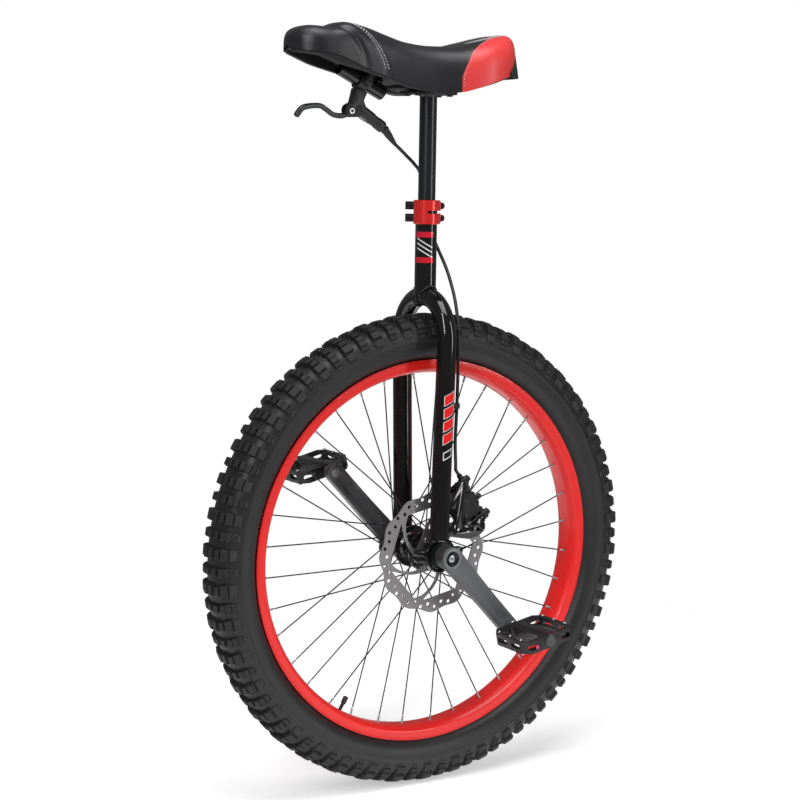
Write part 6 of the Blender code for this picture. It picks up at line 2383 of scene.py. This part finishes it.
    def boot(self) -> None:
        """Builds the stepped rubber boot between the cylinder and the hose."""
        way = (self.master_end - self.master_top).normalized()
        start = self.master_end + way * 0.0022
        total = (self.boot_end - start).length
        profile = [
            (0.0, 0.0), (0.0064, 0.0), (0.0064, 0.003), (0.0056, 0.004), (0.0052, total * 0.48)
        ]
        for number in range(3):
            h = total * (0.52 + 0.13 * number)
            r = 0.0049 - 0.0005 * number
            profile += [
                (r, h), (r, h + total * 0.07), (r - 0.0007, h + total * 0.08),
                (r - 0.0007, h + total * 0.12),
            ]
        profile += [(0.0034, total * 0.93), (0.0032, total), (0.0, total)]
        boot = lathe(profile, along(start, self.boot_end), 36)
        settled(boot, "hose_boot_stepped", "seat", RUBBER, ("hose_boot",), 40)


# ------------------------------------------------------------------ the rest
KEPT_NODES: dict[str, Finish] = {
    "axle": STEEL, "rim_tape": RUBBER, "inner_tube": RUBBER, "master_piston": STEEL,
    "inner_brake_pad": PAD_GREY, "outer_brake_pad": PAD_GREY,
}
for _side in ("left_", "right_"):
    for _node, _finish in (
        ("inner_race", STEEL), ("outer_race", STEEL), ("pedal_axle", STEEL),
        ("spacer", SPACER_GREEN), ("front_cap_bolt", BOLT_BLACK), ("rear_cap_bolt", BOLT_BLACK),
    ):
        KEPT_NODES[_side + _node] = _finish


def dress_kept_nodes() -> None:
    """Gives the CAD nodes that stay in view their finishes."""
    for name, finish in KEPT_NODES.items():
        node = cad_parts[name]
        if not node.material_slots:
            node.data.materials.append(finish.material())
        for place in node.material_slots:
            place.material = finish.material()


@dataclass
class Studio:
    """The floor, the light and the camera."""

    eye: tuple[float, float, float] = (1.4536, 2.3085, 0.8973)
    ahead: tuple[float, float, float] = (-0.5186, -0.8469, -0.1175)
    above: tuple[float, float, float] = (-0.0474, -0.1088, 0.9929)
    lens: float = 83.64
    backdrop: tuple[float, float, float] = (1.0, 1.0, 1.0)
    ambient: float = 0.17
    floor_radius: float = 1.3
    floor_glow: float = 0.46

    def build(self) -> None:
        """Builds the floor, the lamps, the sky and the camera."""
        self.floor()
        self.sky()
        self.lamps()
        self.camera()

    def floor(self) -> None:
        """Builds a small round pale floor, just under the tyre."""
        bpy.ops.object.select_all(action="DESELECT")
        bpy.ops.mesh.primitive_circle_add(
            vertices=96, radius=self.floor_radius, fill_type="NGON", location=(0, 0, -0.0002)
        )
        ground = bpy.context.object
        ground.name = "studio_floor"
        made = bpy.data.materials.new("studio_floor_pale")
        made.use_nodes = True
        wiring = Wiring(made.node_tree)
        shader = made.node_tree.nodes["Principled BSDF"]
        place = wiring.node("TexCoord").outputs["Object"]
        cloud = wiring.noise(place, 1.5, 2.0)
        wiring.fill(
            shader,
            {
                "Base Color": wiring.mixed(cloud, (0.88, 0.88, 0.885, 1.0), (0.9, 0.9, 0.905, 1.0)),
                "Roughness": 0.9, "Emission Color": (1.0, 1.0, 1.0, 1.0),
                "Emission Strength": self.floor_glow,
            },
        )
        ground.data.materials.append(made)

    def sky(self) -> None:
        """Sets a sky that looks white and lights the scene softly."""
        world = bpy.context.scene.world or bpy.data.worlds.new("studio")
        bpy.context.scene.world = world
        world.use_nodes = True
        wiring = Wiring(world.node_tree)
        background = world.node_tree.nodes["Background"]
        seen = wiring.node("LightPath").outputs["Is Camera Ray"]
        tint = wiring.mixed(seen, (self.ambient,) * 3 + (1.0,), (*self.backdrop, 1.0))
        wiring.fill(background, {"Color": tint, "Strength": 1.0})

    @staticmethod
    def lamp(
        name: str, place: Point, target: Point, size: tuple[float, float], power: float
    ) -> None:
        """Adds one soft box."""
        light = bpy.data.lights.new(name, "AREA")
        light.shape = "RECTANGLE"
        light.size, light.size_y = size
        light.energy = power
        made = bpy.data.objects.new(name, light)
        bpy.context.scene.collection.objects.link(made)
        made.location = place
        made.rotation_euler = (Vector(target) - Vector(place)).to_track_quat("-Z", "Y").to_euler()

    def lamps(self) -> None:
        """Adds the key, fill and top lights."""
        middle = (0.0, 0.0, 0.6)
        self.lamp("key_light", (2.4, 1.6, 2.2), middle, (0.28, 2.2), 42.0)
        self.lamp("fill_light", (-1.8, 2.6, 1.4), middle, (0.3, 2.4), 30.0)
        self.lamp("top_light", (0.2, 0.6, 3.2), middle, (2.0, 2.0), 60.0)

    def camera(self) -> None:
        """Adds the camera."""
        lens = bpy.data.cameras.new("camera")
        lens.lens = self.lens
        lens.sensor_width = 36.0
        lens.clip_start, lens.clip_end = 0.05, 60.0
        lens.dof.use_dof = False
        made = bpy.data.objects.new("camera", lens)
        bpy.context.scene.collection.objects.link(made)
        back, above = -Vector(self.ahead), Vector(self.above)
        right = above.cross(back).normalized()
        turned = Matrix((right, back.cross(right), back)).transposed().to_4x4()
        made.matrix_world = at(self.eye) @ turned
        bpy.context.scene.camera = made


def main() -> None:
    """Builds every sub-assembly in order."""
    logging.basicConfig(level=logging.INFO, format="%(name)s: %(message)s")
    Studio().build()
    bpy.context.scene.view_settings.view_transform = "Standard"
    dress_kept_nodes()
    Tyre().build()
    Rim().build()
    Hub().build()
    for side in (LEFT, RIGHT):
        Spokes(side).build()
        Crank(side).build()
        Pedal(side).build()
    Fork().build()
    SeatClamp().build()
    caliper = Caliper()
    caliper.build()
    Hose().build(caliper)
    Saddle().build()
    Lever().build()


if __name__ == "__main__":
    main()
